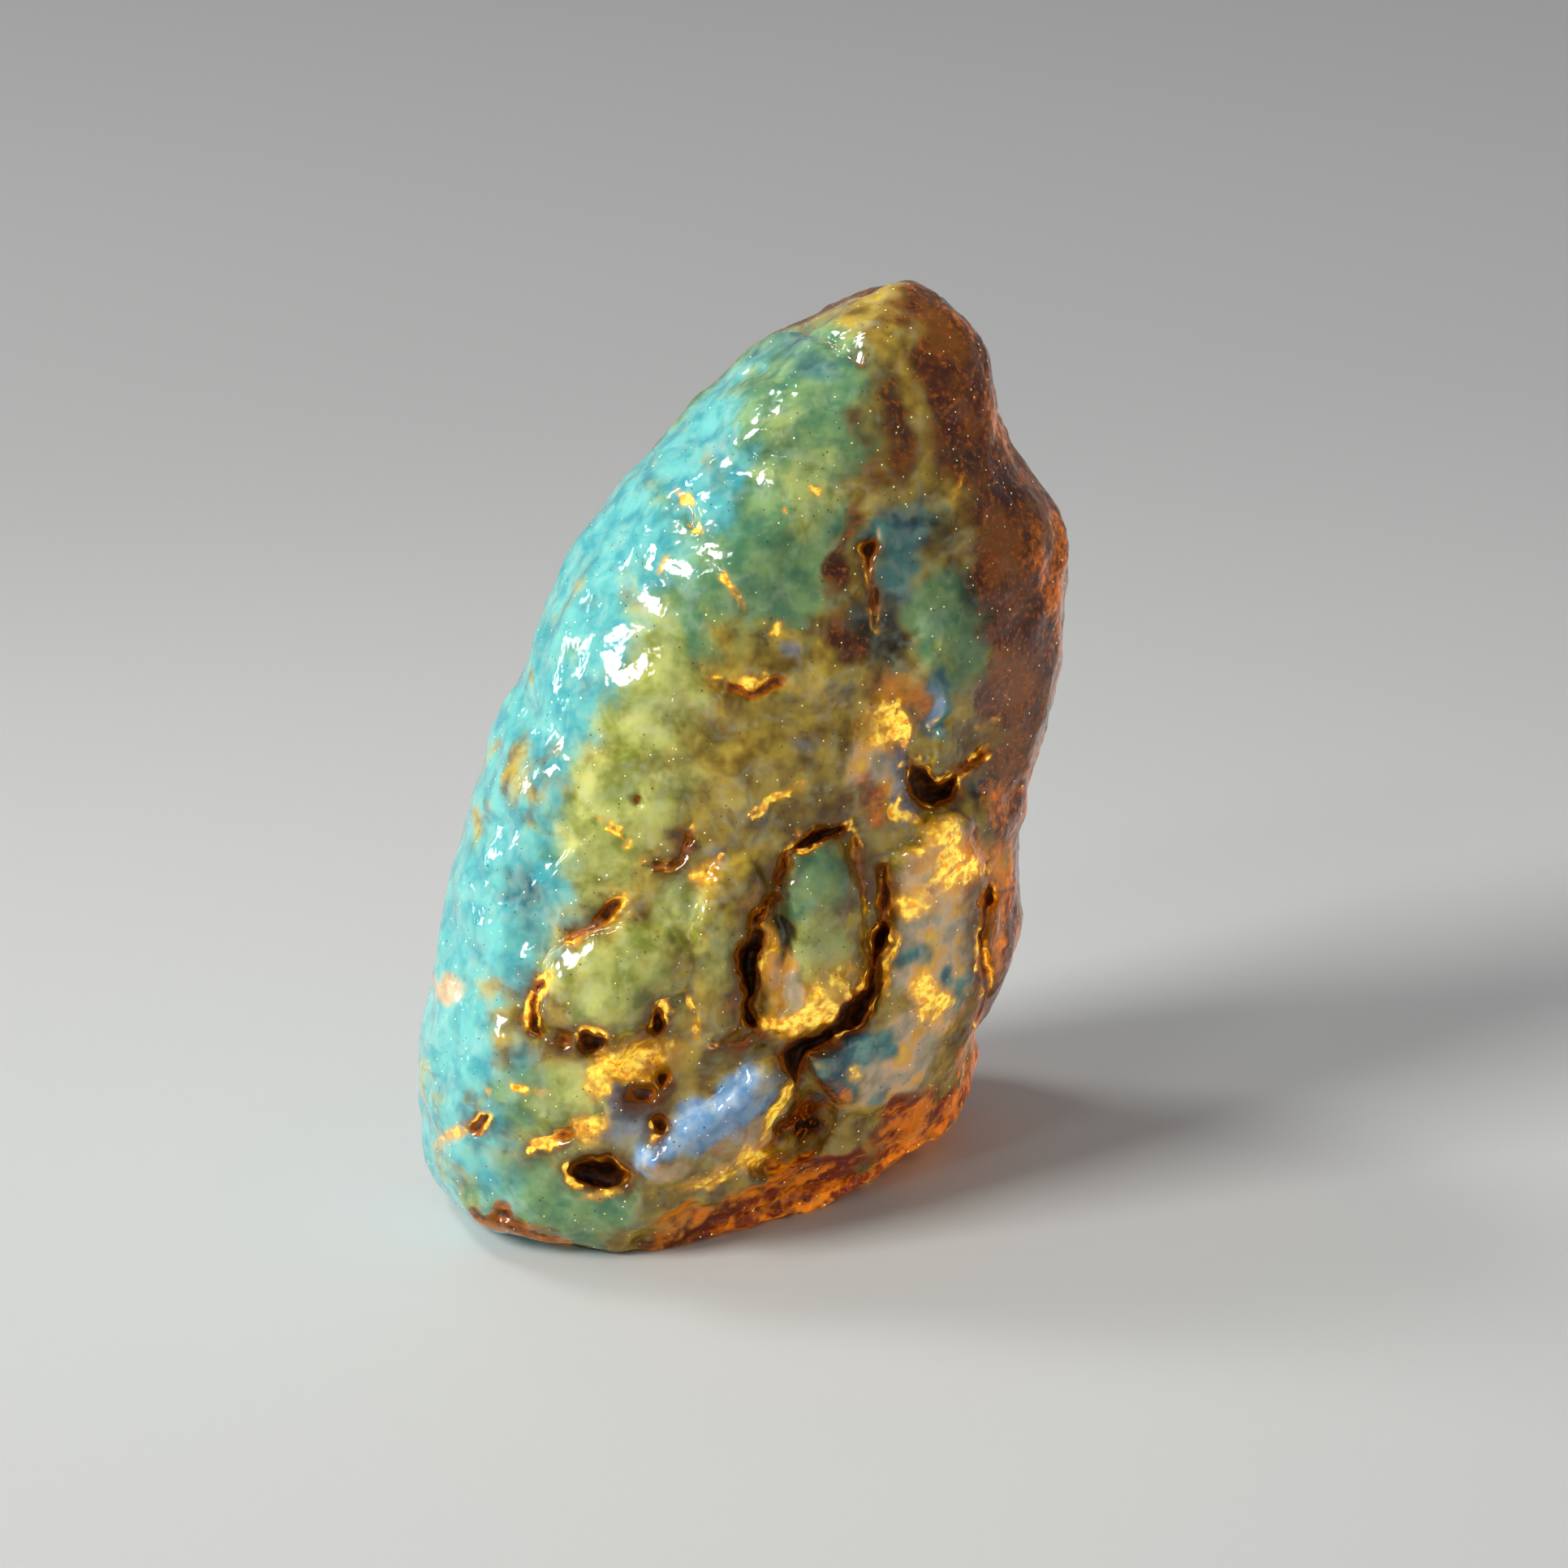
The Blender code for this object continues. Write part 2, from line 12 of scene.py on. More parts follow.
import math
from collections import namedtuple

import bpy
import numpy as np
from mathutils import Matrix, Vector, kdtree, noise


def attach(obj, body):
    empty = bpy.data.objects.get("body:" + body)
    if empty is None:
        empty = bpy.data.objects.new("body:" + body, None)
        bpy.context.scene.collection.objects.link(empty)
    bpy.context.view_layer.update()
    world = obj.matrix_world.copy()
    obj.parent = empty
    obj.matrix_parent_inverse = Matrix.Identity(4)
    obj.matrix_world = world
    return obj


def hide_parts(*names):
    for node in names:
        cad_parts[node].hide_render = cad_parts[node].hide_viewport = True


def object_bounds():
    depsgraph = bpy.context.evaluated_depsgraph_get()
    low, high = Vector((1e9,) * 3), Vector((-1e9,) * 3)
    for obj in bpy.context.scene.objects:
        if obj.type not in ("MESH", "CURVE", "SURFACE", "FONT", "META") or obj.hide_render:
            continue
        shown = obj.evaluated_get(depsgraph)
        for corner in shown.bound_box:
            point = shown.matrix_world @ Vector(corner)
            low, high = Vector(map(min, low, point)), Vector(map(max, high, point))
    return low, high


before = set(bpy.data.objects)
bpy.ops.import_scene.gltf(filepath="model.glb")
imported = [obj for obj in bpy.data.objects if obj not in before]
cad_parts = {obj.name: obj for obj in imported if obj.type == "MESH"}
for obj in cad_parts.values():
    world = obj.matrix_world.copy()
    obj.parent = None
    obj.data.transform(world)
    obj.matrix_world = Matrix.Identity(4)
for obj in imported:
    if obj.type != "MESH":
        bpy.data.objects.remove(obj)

CAD_LOW, CAD_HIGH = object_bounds()
MM = 0.001

# The body, as in the solid
HEIGHT = 71.6
CORNER = 2.35
UNDERSIDE_ROUNDING = 4.5
UNDERSIDE_INSET = 1.8
CROWN_ROUNDING = 5.0
LIFT_START = 5.0
LIFT_END = 19.0
LIFT = 2.0
LIFT_REACH = 18.0
SUNK = 0.4

# How the photo's camera sees the front: its height as an angle, its distance, what it looks at,
# and how far above that the middle of the foot shows
FRONT_ELEVATION = math.radians(20.0)
FRONT_DISTANCE = 340.0
FRONT_AIM = (3.6, 0.0, 32.5)
FRONT_FOOT = -36.4
LENS = 100.0
SENSOR = 36.0

# Detail of the finished surface
RINGS = 330
RING_POINTS = 600
CURVE_STEPS = 6
REMESH_SIZE = 0.27
TRIANGLES = 190000

Section = namedtuple("Section", "height left right depth middle turn")
SECTIONS = (
    Section(0.0, -22.2, 19.4, 26.5, 0.2, 36.0),
    Section(4.0, -24.0, 19.6, 28.0, 0.0, 36.0),
    Section(8.0, -24.8, 19.2, 29.0, 0.0, 35.0),
    Section(12.0, -24.8, 20.6, 29.5, 0.0, 34.0),
    Section(18.0, -23.9, 22.5, 30.0, 0.0, 32.0),
    Section(24.0, -22.8, 22.3, 30.0, 0.0, 31.0),
    Section(30.0, -21.0, 22.9, 29.5, 0.0, 30.0),
    Section(36.0, -19.2, 24.5, 29.0, 0.5, 29.0),
    Section(42.0, -16.9, 25.3, 28.5, 1.0, 28.0),
    Section(48.0, -14.8, 25.4, 27.5, 1.0, 27.0),
    Section(52.0, -12.5, 25.4, 26.0, 1.5, 26.0),
    Section(56.0, -9.6, 23.1, 24.0, 1.5, 25.0),
    Section(60.0, -6.0, 20.7, 21.5, 2.0, 24.0),
    Section(64.0, -1.6, 19.5, 18.5, 2.0, 22.0),
    Section(68.0, 3.9, 18.2, 14.5, 2.5, 20.0),
    Section(71.6, 8.8, 16.4, 9.5, 3.0, 18.0),
)

# Shapes drawn on the front or the back, each point as (right, up) from the foot's middle.
# A channel's or a pit's gold is how much bright amber lines its rim.
Lobe = namedtuple("Lobe", "outline height edge")
Channel = namedtuple("Channel", "route start_width end_width depth gold")
Mound = namedtuple("Mound", "place across along height turn", defaults=(0.0,))
Pit = namedtuple("Pit", "place across along depth gold turn", defaults=(0.0,))
Patch = namedtuple("Patch", "place across along amount turn", defaults=(0.0,))

TONGUE = (
    (4.0, 31.0), (7.1, 32.1), (8.7, 30.6), (9.7, 27.9), (10.1, 24.8), (9.8, 21.3),
    (8.0, 18.6), (5.1, 16.8), (2.7, 17.3), (2.6, 20.0), (3.7, 23.5), (4.0, 27.3),
)
BANK = ((3.3, 27.6), (2.3, 25.7), (1.8, 22.9), (1.6, 19.7), (2.5, 17.3), (3.7, 19.1), (4.0, 22.9))
RIGHT_LOBE = (
    (12.3, 30.5), (14.6, 33.6), (17.0, 34.3), (18.9, 31.1), (19.2, 27.3), (18.4, 21.6),
    (17.7, 15.9), (15.3, 13.0), (12.1, 11.0), (8.3, 10.7), (6.0, 12.2), (5.5, 14.5),
    (8.3, 16.5), (10.5, 19.4), (11.8, 22.9), (12.2, 26.7),
)
BLUE_LOBE = (
    (3.1, 15.5), (4.2, 14.3), (3.9, 12.4), (2.3, 9.7), (1.2, 7.0), (-0.3, 5.6),
    (-3.8, 5.0), (-6.9, 5.6), (-7.6, 7.7), (-5.3, 9.8), (-1.8, 12.1), (0.7, 14.6),
)
COLUMN = (
    (-1.8, 29.5), (1.3, 30.5), (2.6, 27.9), (1.0, 24.8), (0.4, 20.3), (-0.3, 16.5),
    (-3.1, 16.2), (-4.1, 21.6), (-3.8, 25.4),
)
OLIVE_LOBE = (
    (-14.5, 23.5), (-9.5, 26.0), (-5.0, 24.8), (-3.8, 21.0), (-6.0, 19.1), (-8.2, 17.0),
    (-10.7, 15.8), (-13.9, 16.4), (-15.8, 18.4), (-15.5, 21.3),
)
LOWER_CAVITY = (
    (4.8, 14.8), (6.2, 12.8), (7.8, 10.6), (7.2, 8.0), (4.5, 6.6), (1.8, 5.6),
    (1.3, 7.0), (2.8, 9.5), (4.2, 12.2),
)
GOLD_HOLLOW = ((-12.8, 15.9), (-9.8, 14.9), (-7.4, 16.4), (-5.6, 16.6), (-6.0, 14.0), (-8.4, 12.6))
FLAKE = ((-20.1, 33.6), (-17.1, 33.5), (-12.9, 32.0), (-13.9, 30.3), (-16.4, 27.9), (-18.9, 27.2))
FLAP = ((15.3, 40.3), (17.3, 40.7), (17.8, 39.0), (16.2, 37.1), (14.5, 36.8))
SKIRT_TOP = ((-6.3, 2.6), (-1.8, 3.9), (4.1, 6.0), (9.6, 7.5), (14.0, 9.6), (17.2, 12.4), (18.2, 15.3))
SKIRT = SKIRT_TOP + ((24.0, 15.0), (24.0, -4.0), (-9.0, -4.0))

FRONT_LOBES = (
    Lobe(TONGUE, 1.8, 2.4),
    Lobe(RIGHT_LOBE, 2.8, 3.4),
    Lobe(BLUE_LOBE, 2.7, 2.4),
    Lobe(COLUMN, 1.2, 1.8),
    Lobe(OLIVE_LOBE, 1.8, 2.4),
    Lobe(FLAP, 1.2, 0.8),
    Lobe(BANK, -1.8, 0.9),
    Lobe(LOWER_CAVITY, -3.2, 1.2),
    Lobe(GOLD_HOLLOW, -1.5, 0.9),
    Lobe(FLAKE, -0.7, 1.2),
    Lobe(SKIRT, -1.6, 1.4),
)
FRONT_MOUNDS = (
    Mound((7.6, 19.6), 3.6, 3.2, 1.3),
    Mound((9.3, 72.0), 5.5, 3.0, 0.9, -25.0),
    Mound((1.8, 65.0), 5.5, 3.6, 0.9, 20.0),
    Mound((10.8, 46.9), 4.5, 7.0, -1.1),
    Mound((17.4, 45.5), 6.0, 5.5, 1.0, 20.0),
    Mound((18.0, 36.0), 8.0, 3.4, -1.9, 15.0),
    Mound((-16.5, 25.5), 2.6, 3.6, -0.9, -20.0),
    Mound((-20.0, 13.5), 5.0, 8.5, 0.9),
    Mound((-16.5, 36.5), 4.0, 4.5, 0.8, 30.0),
    Mound((-8.0, 42.0), 6.0, 9.0, 0.6, -15.0),
    Mound((1.0, 55.0), 8.0, 7.0, 0.7, 30.0),
    Mound((5.0, 37.0), 6.0, 4.0, 0.6, 10.0),
    Mound((3.4, 8.1), 1.5, 1.2, 2.0, 30.0),
    Mound((4.4, 16.6), 0.9, 0.7, 1.6),
    Mound((5.4, 15.1), 0.7, 1.0, 1.8, 20.0),
    Mound((-2.7, 28.7), 0.8, 0.8, 0.5),
    Mound((12.9, 29.0), 1.0, 1.0, 0.6),
)
FRONT_CHANNELS = (
    Channel(((8.9, 33.7), (7.1, 32.6), (5.1, 32.2), (3.6, 31.4)), 1.1, 0.9, 3.0, 0.9),
    Channel(((3.6, 31.6), (3.3, 29.5), (3.1, 27.9), (1.8, 26.7), (1.1, 24.7)), 1.1, 1.4, 4.0, 0.6),
    Channel(((1.3, 25.4), (0.9, 22.2), (0.7, 19.8), (0.9, 18.1), (2.0, 16.7)), 1.4, 1.5, 4.4, 0.6),
    Channel(((11.5, 30.8), (11.6, 26.8), (11.5, 25.1)), 0.5, 1.0, 2.4, 0.5),
    Channel(((11.6, 26.0), (10.9, 22.7), (10.3, 20.6), (8.9, 18.5), (7.1, 16.9)), 1.2, 2.1, 5.0, 0.8),
    Channel(((8.0, 17.6), (6.6, 16.4), (5.1, 15.9), (4.2, 14.9), (4.4, 12.6)), 2.1, 1.2, 4.2, 0.4),
    Channel(((9.0, 33.0), (9.4, 30.3), (9.9, 28.1), (10.4, 25.7)), 0.7, 0.6, 1.6, 0.6),
    Channel(((19.2, 30.6), (19.4, 27.3), (18.8, 24.8), (19.1, 21.6), (18.8, 17.0)), 1.2, 0.8, 2.6, 0.7),
    Channel(((13.6, 38.6), (14.6, 35.9), (16.2, 36.2), (18.1, 38.2), (20.0, 39.4)), 2.2, 0.8, 3.2, 0.8),
    Channel(((-14.6, 21.6), (-16.1, 19.8), (-15.9, 17.7), (-14.9, 16.2)), 0.8, 1.0, 1.9, 1.0),
    Channel(((-6.9, 30.5), (-5.5, 30.1), (-4.3, 31.0), (-3.5, 33.1)), 1.1, 0.6, 2.0, 0.8),
    Channel(((-14.8, 24.3), (-12.0, 25.1), (-10.2, 26.4), (-8.9, 27.9)), 0.7, 0.9, 1.1, 0.9),
    Channel(((10.8, 56.1), (10.1, 53.6), (10.3, 51.4), (10.8, 48.6)), 0.8, 0.7, 1.6, 0.5),
    Channel(((2.9, 72.4), (4.8, 71.7), (7.3, 70.5), (10.1, 68.8)), 1.2, 0.8, 0.7, 0.0),
    Channel(((-1.9, 66.6), (0.4, 67.9), (2.9, 67.9), (5.1, 66.1)), 0.9, 0.9, 0.6, 0.0),
    Channel(((-1.5, 44.6), (0.6, 43.6), (2.6, 44.3), (4.6, 44.0)), 1.5, 1.0, 0.9, 0.9),
    Channel(((1.2, 34.3), (4.6, 36.6)), 0.8, 0.6, 0.7, 1.0),
    Channel(((-12.1, 35.0), (-10.4, 33.1), (-8.7, 31.5)), 0.5, 0.6, 0.7, 1.0),
    Channel(((-4.4, 59.5), (-3.3, 57.1), (-2.2, 54.5), (-0.7, 51.8)), 0.7, 0.4, 0.7, 1.0),
    Channel(((-7.5, 35.9), (-7.5, 34.5)), 0.9, 0.7, 0.9, 0.4),
    Channel(((-20.8, 9.0), (-19.8, 10.8)), 0.8, 0.7, 1.3, 0.9),
    Channel(((-20.8, 3.6), (-18.5, 2.5), (-15.5, 1.2), (-12.6, 0.1)), 0.9, 0.9, 0.9, 0.3),
    Channel(((-4.0, 1.8), (4.6, 4.2), (10.6, 5.9), (15.6, 8.4)), 0.9, 0.9, 0.7, 0.3),
    Channel(((-2.6, 16.4), (-1.2, 15.9), (0.4, 16.0), (1.8, 16.9)), 0.7, 0.9, 1.5, 0.9),
)
FRONT_PITS = (
    Pit((-10.8, 6.0), 2.5, 1.45, 3.0, 1.0, -4.0),
    Pit((-11.4, 16.3), 1.25, 0.95, 2.2, 0.9, 30.0),
    Pit((-13.5, 16.4), 0.8, 0.5, 1.2, 0.9),
    Pit((-6.5, 18.0), 0.7, 1.25, 2.2, 0.8, -25.0),
    Pit((-5.8, 13.3), 0.6, 1.1, 2.0, 0.6),
    Pit((-6.2, 9.9), 0.6, 0.9, 1.8, 0.9),
    Pit((-7.6, 11.9), 1.3, 0.7, 1.2, 0.3, 10.0),
    Pit((-13.8, 8.6), 1.5, 0.5, 0.9, 1.0, 25.0),
)
LONG_FOLD = (
    (-18.0, 30.0), (-10.0, 26.0), (-3.0, 20.0), (4.0, 12.5), (10.5, 8.5), (14.5, 12.5),
    (9.0, 19.5), (2.0, 27.5), (-6.0, 33.0), (-14.0, 36.5),
)
HIGH_SCOOP = ((2.0, 44.0), (8.0, 41.0), (13.0, 45.0), (11.0, 53.0), (4.0, 55.0), (0.5, 50.0))
SIDE_SWELL = ((8.0, 24.0), (15.0, 20.0), (19.5, 26.0), (17.5, 35.0), (11.0, 36.0))
BACK_LOBES = (
    Lobe(LONG_FOLD, 1.6, 3.2),
    Lobe(SIDE_SWELL, 1.1, 2.6),
    Lobe(HIGH_SCOOP, -1.2, 2.6),
)
BACK_MOUNDS = (
    Mound((-9.0, 50.0), 5.0, 6.0, 1.0, 20.0),
    Mound((-12.0, 14.0), 6.0, 5.0, 1.0, 30.0),
    Mound((-2.0, 40.0), 4.5, 3.5, -1.0, -30.0),
    Mound((0.5, 62.0), 4.0, 4.5, 0.8),
)
BACK_CHANNELS = (
    Channel(((-19.5, 29.0), (-11.0, 24.0), (-4.5, 18.5), (1.5, 11.8), (6.0, 7.0)), 1.0, 1.6, 2.6, 0.8),
    Channel(((15.5, 14.0), (10.5, 20.5), (7.0, 24.0), (4.0, 29.0)), 1.1, 0.6, 1.8, 0.7),
    Channel(((-3.5, 62.0), (-6.0, 56.5), (-5.0, 50.0), (-9.5, 44.0)), 0.6, 0.9, 1.2, 0.8),
    Channel(((14.0, 39.0), (10.0, 38.0), (5.0, 41.5)), 0.7, 1.0, 1.3, 0.9),
    Channel(((-4.5, 18.5), (-8.0, 12.5), (-7.0, 7.0)), 1.0, 0.5, 1.4, 0.6),
)
BACK_PITS = (
    Pit((-13.5, 27.5), 1.8, 0.8, 1.6, 0.8, -32.0),
    Pit((-0.5, 16.5), 1.5, 0.8, 1.5, 0.8, -48.0),
    Pit((6.8, 31.5), 1.5, 0.8, 1.4, 0.9, 55.0),
    Pit((-10.5, 40.0), 0.8, 1.3, 1.2, 0.6, 20.0),
    Pit((17.2, 27.0), 0.6, 1.4, 1.2, 0.7, 10.0),
    Pit((3.0, 48.0), 1.1, 0.7, 0.9, 0.9, 10.0),
)

# Unevenness, as the spacing and the size of its swells
SWELLS = ((9.0, 0.35), (3.6, 0.24))
BACK_SWELLS = ((12.0, 0.9), (4.4, 0.3))
EDGE_WANDER = (2.4, 0.3)
FINE_WANDER = (0.9, 0.16)
WIDTH_WANDER = (2.8, 0.42)
RIPPLES = ((1.9, 0.07), (0.95, 0.03))
# How far one seed's noise lies from the next
SEED_STEP = (17.3, 5.9, 9.7)
# What cloudy noise is made of: how much finer each part is, its share and its seed's shift
CLOUD_PARTS = ((1.0, 0.62, 0.0), (2.3, 0.36, 0.4), (5.2, 0.22, 0.7))
# The clear foot's layers: how steep they lie, and the length and start of each of their waves
LAYER_TILT = 0.2
LAYER_WAVES = ((1.3, 0.0), (2.9, 1.0))

# Around a hollow: how wide its painted crease shade, its edge (painted shade and glow) and its line of
# gold show, and how far all of it reaches
CHANNEL_REACH = (1.3, 0.6, 0.24)
PIT_REACH = (1.1, 0.6, 0.3)
HOLLOW_MARGIN = 2.5

# Cracks too fine for the solid
FINE_CRACKS = (
    Channel(((0.3, 62.6), (2.3, 62.2), (4.1, 61.0)), 0.35, 0.45, 0.7, 0.5),
    Channel(((-0.9, 30.9), (-2.3, 29.5), (-2.7, 28.8)), 0.35, 0.45, 0.35, 1.0),
    Channel(((-3.3, 27.4), (-4.4, 25.4), (-5.0, 23.8)), 0.35, 0.3, 0.4, 0.7),
    Channel(((-5.6, 26.9), (-4.7, 24.9)), 0.5, 0.35, 0.5, 0.6),
    Channel(((-3.9, 19.8), (-3.4, 17.6), (-2.8, 16.4)), 0.45, 0.5, 0.8, 0.9),
    Channel(((-16.6, 7.7), (-14.2, 8.8), (-11.5, 9.9)), 0.5, 0.6, 0.5, 1.0),
    Channel(((-24.0, 7.8), (-22.2, 8.4), (-20.2, 9.8)), 0.5, 0.5, 0.4, 1.0),
    Channel(((-20.4, 11.7), (-18.6, 13.0), (-16.5, 12.7)), 0.35, 0.35, 0.3, 1.0),
    Channel(((-11.3, 12.9), (-10.5, 11.0), (-10.8, 9.0)), 0.5, 0.4, 0.5, 1.0),
    Channel(((15.3, 51.3), (16.2, 52.4), (16.8, 54.0)), 0.3, 0.3, 0.3, 0.4),
    Channel(((12.7, 42.0), (13.3, 38.9), (12.3, 35.6), (12.5, 32.2)), 0.45, 0.4, 0.4, 1.0),
    Channel(((-6.1, 54.1), (-5.8, 52.9), (-5.7, 51.6)), 0.45, 0.3, 0.3, 1.0),
    Channel(((-0.7, 51.8), (0.6, 50.2), (2.4, 49.4), (3.1, 48.2)), 0.3, 0.4, 0.35, 0.6),
    Channel(((5.0, 43.8), (8.6, 42.6), (12.2, 43.4)), 0.3, 0.3, 0.3, 0.4),
    Channel(((14.4, 40.8), (16.4, 41.6), (18.4, 40.9), (20.2, 41.4)), 0.4, 0.3, 0.4, 0.8),
    Channel(((5.2, 33.9), (8.2, 36.4), (9.4, 39.8)), 0.25, 0.25, 0.25, 0.2),
    Channel(((17.6, 60.6), (16.8, 57.4), (18.2, 54.8)), 0.3, 0.4, 0.4, 0.5),
)

# Bright amber that shows as gold, drawn on the front. Its brightness stands partly for light reflected
# off cracks inside the amber, and it glows as painted light.
GOLD_PATCHES = (
    Patch((1.6, 44.2), 2.8, 0.8, 1.0, 5.0), Patch((3.0, 48.3), 0.7, 0.8, 0.9),
    Patch((6.3, 59.0), 0.4, 0.5, 1.0), Patch((3.7, 58.0), 0.35, 0.3, 0.9),
    Patch((-6.1, 53.6), 0.4, 1.0, 0.9, -15.0), Patch((-4.2, 59.0), 0.4, 1.2, 0.9, 30.0),
    Patch((-8.6, 14.9), 3.4, 1.3, 1.0, 20.0), Patch((-10.9, 13.0), 1.2, 1.4, 0.8),
    Patch((-6.2, 15.3), 1.0, 1.4, 0.9, 30.0), Patch((-11.6, 9.4), 1.7, 1.5, 0.95, 50.0),
    Patch((-13.9, 8.6), 1.8, 0.6, 0.9, 20.0), Patch((-10.8, 4.1), 1.9, 0.5, 0.8, 10.0),
    Patch((-22.1, 8.9), 1.9, 0.7, 0.9, 35.0), Patch((5.8, 18.2), 3.9, 1.2, 1.0, 22.0),
    Patch((7.4, 20.4), 3.0, 2.4, 0.75, 50.0), Patch((-2.6, 29.4), 1.6, 1.3, 0.75, 30.0),
    Patch((11.2, 41.0), 2.2, 3.0, 0.7), Patch((16.2, 30.6), 2.6, 3.4, 0.75),
    Patch((14.2, 27.2), 2.2, 1.6, 0.7), Patch((15.0, 19.4), 2.0, 2.6, 0.7, 20.0),
    Patch((-7.4, 15.0), 4.2, 2.2, 0.7, 10.0), Patch((8.4, 20.3), 1.1, 1.6, 0.85, -20.0),
    Patch((2.6, 17.7), 1.0, 0.9, 0.9), Patch((2.4, 22.6), 0.8, 3.2, 0.7, 4.0),
    Patch((1.2, 27.6), 1.4, 0.4, 0.5, 60.0), Patch((16.8, 32.2), 1.2, 1.9, 1.0),
    Patch((17.9, 30.2), 1.3, 1.2, 0.9), Patch((14.4, 31.6), 1.6, 0.7, 0.7, 20.0),
    Patch((13.6, 26.7), 1.4, 1.2, 0.95), Patch((15.2, 20.4), 1.1, 1.9, 1.0, 25.0),
    Patch((11.9, 22.2), 0.45, 2.8, 0.8, -10.0), Patch((2.9, 10.8), 0.6, 3.4, 0.95, -24.0),
    Patch((1.0, 7.3), 1.4, 1.1, 0.95, 30.0), Patch((-2.2, 5.6), 3.2, 0.7, 0.85, 16.0),
    Patch((12.4, 40.6), 1.3, 1.6, 0.75, 20.0), Patch((13.4, 33.6), 1.2, 0.7, 0.8),
    Patch((2.9, 35.5), 2.0, 0.45, 0.9, 35.0), Patch((-11.6, 24.9), 2.4, 0.45, 0.6, 30.0),
    Patch((9.2, 13.9), 0.7, 0.8, 0.7), Patch((-15.4, 12.6), 1.6, 0.5, 0.6, 10.0),
    Patch((-3.2, 17.4), 0.5, 1.2, 0.7),
)
BACK_GOLD = (
    Patch((2.0, 12.8), 3.2, 0.9, 0.9, -50.0), Patch((5.5, 26.0), 1.6, 0.8, 0.8, 55.0),
    Patch((-6.5, 54.0), 0.8, 1.8, 0.7, 20.0), Patch((-13.0, 26.2), 2.6, 0.8, 0.8, -32.0),
)

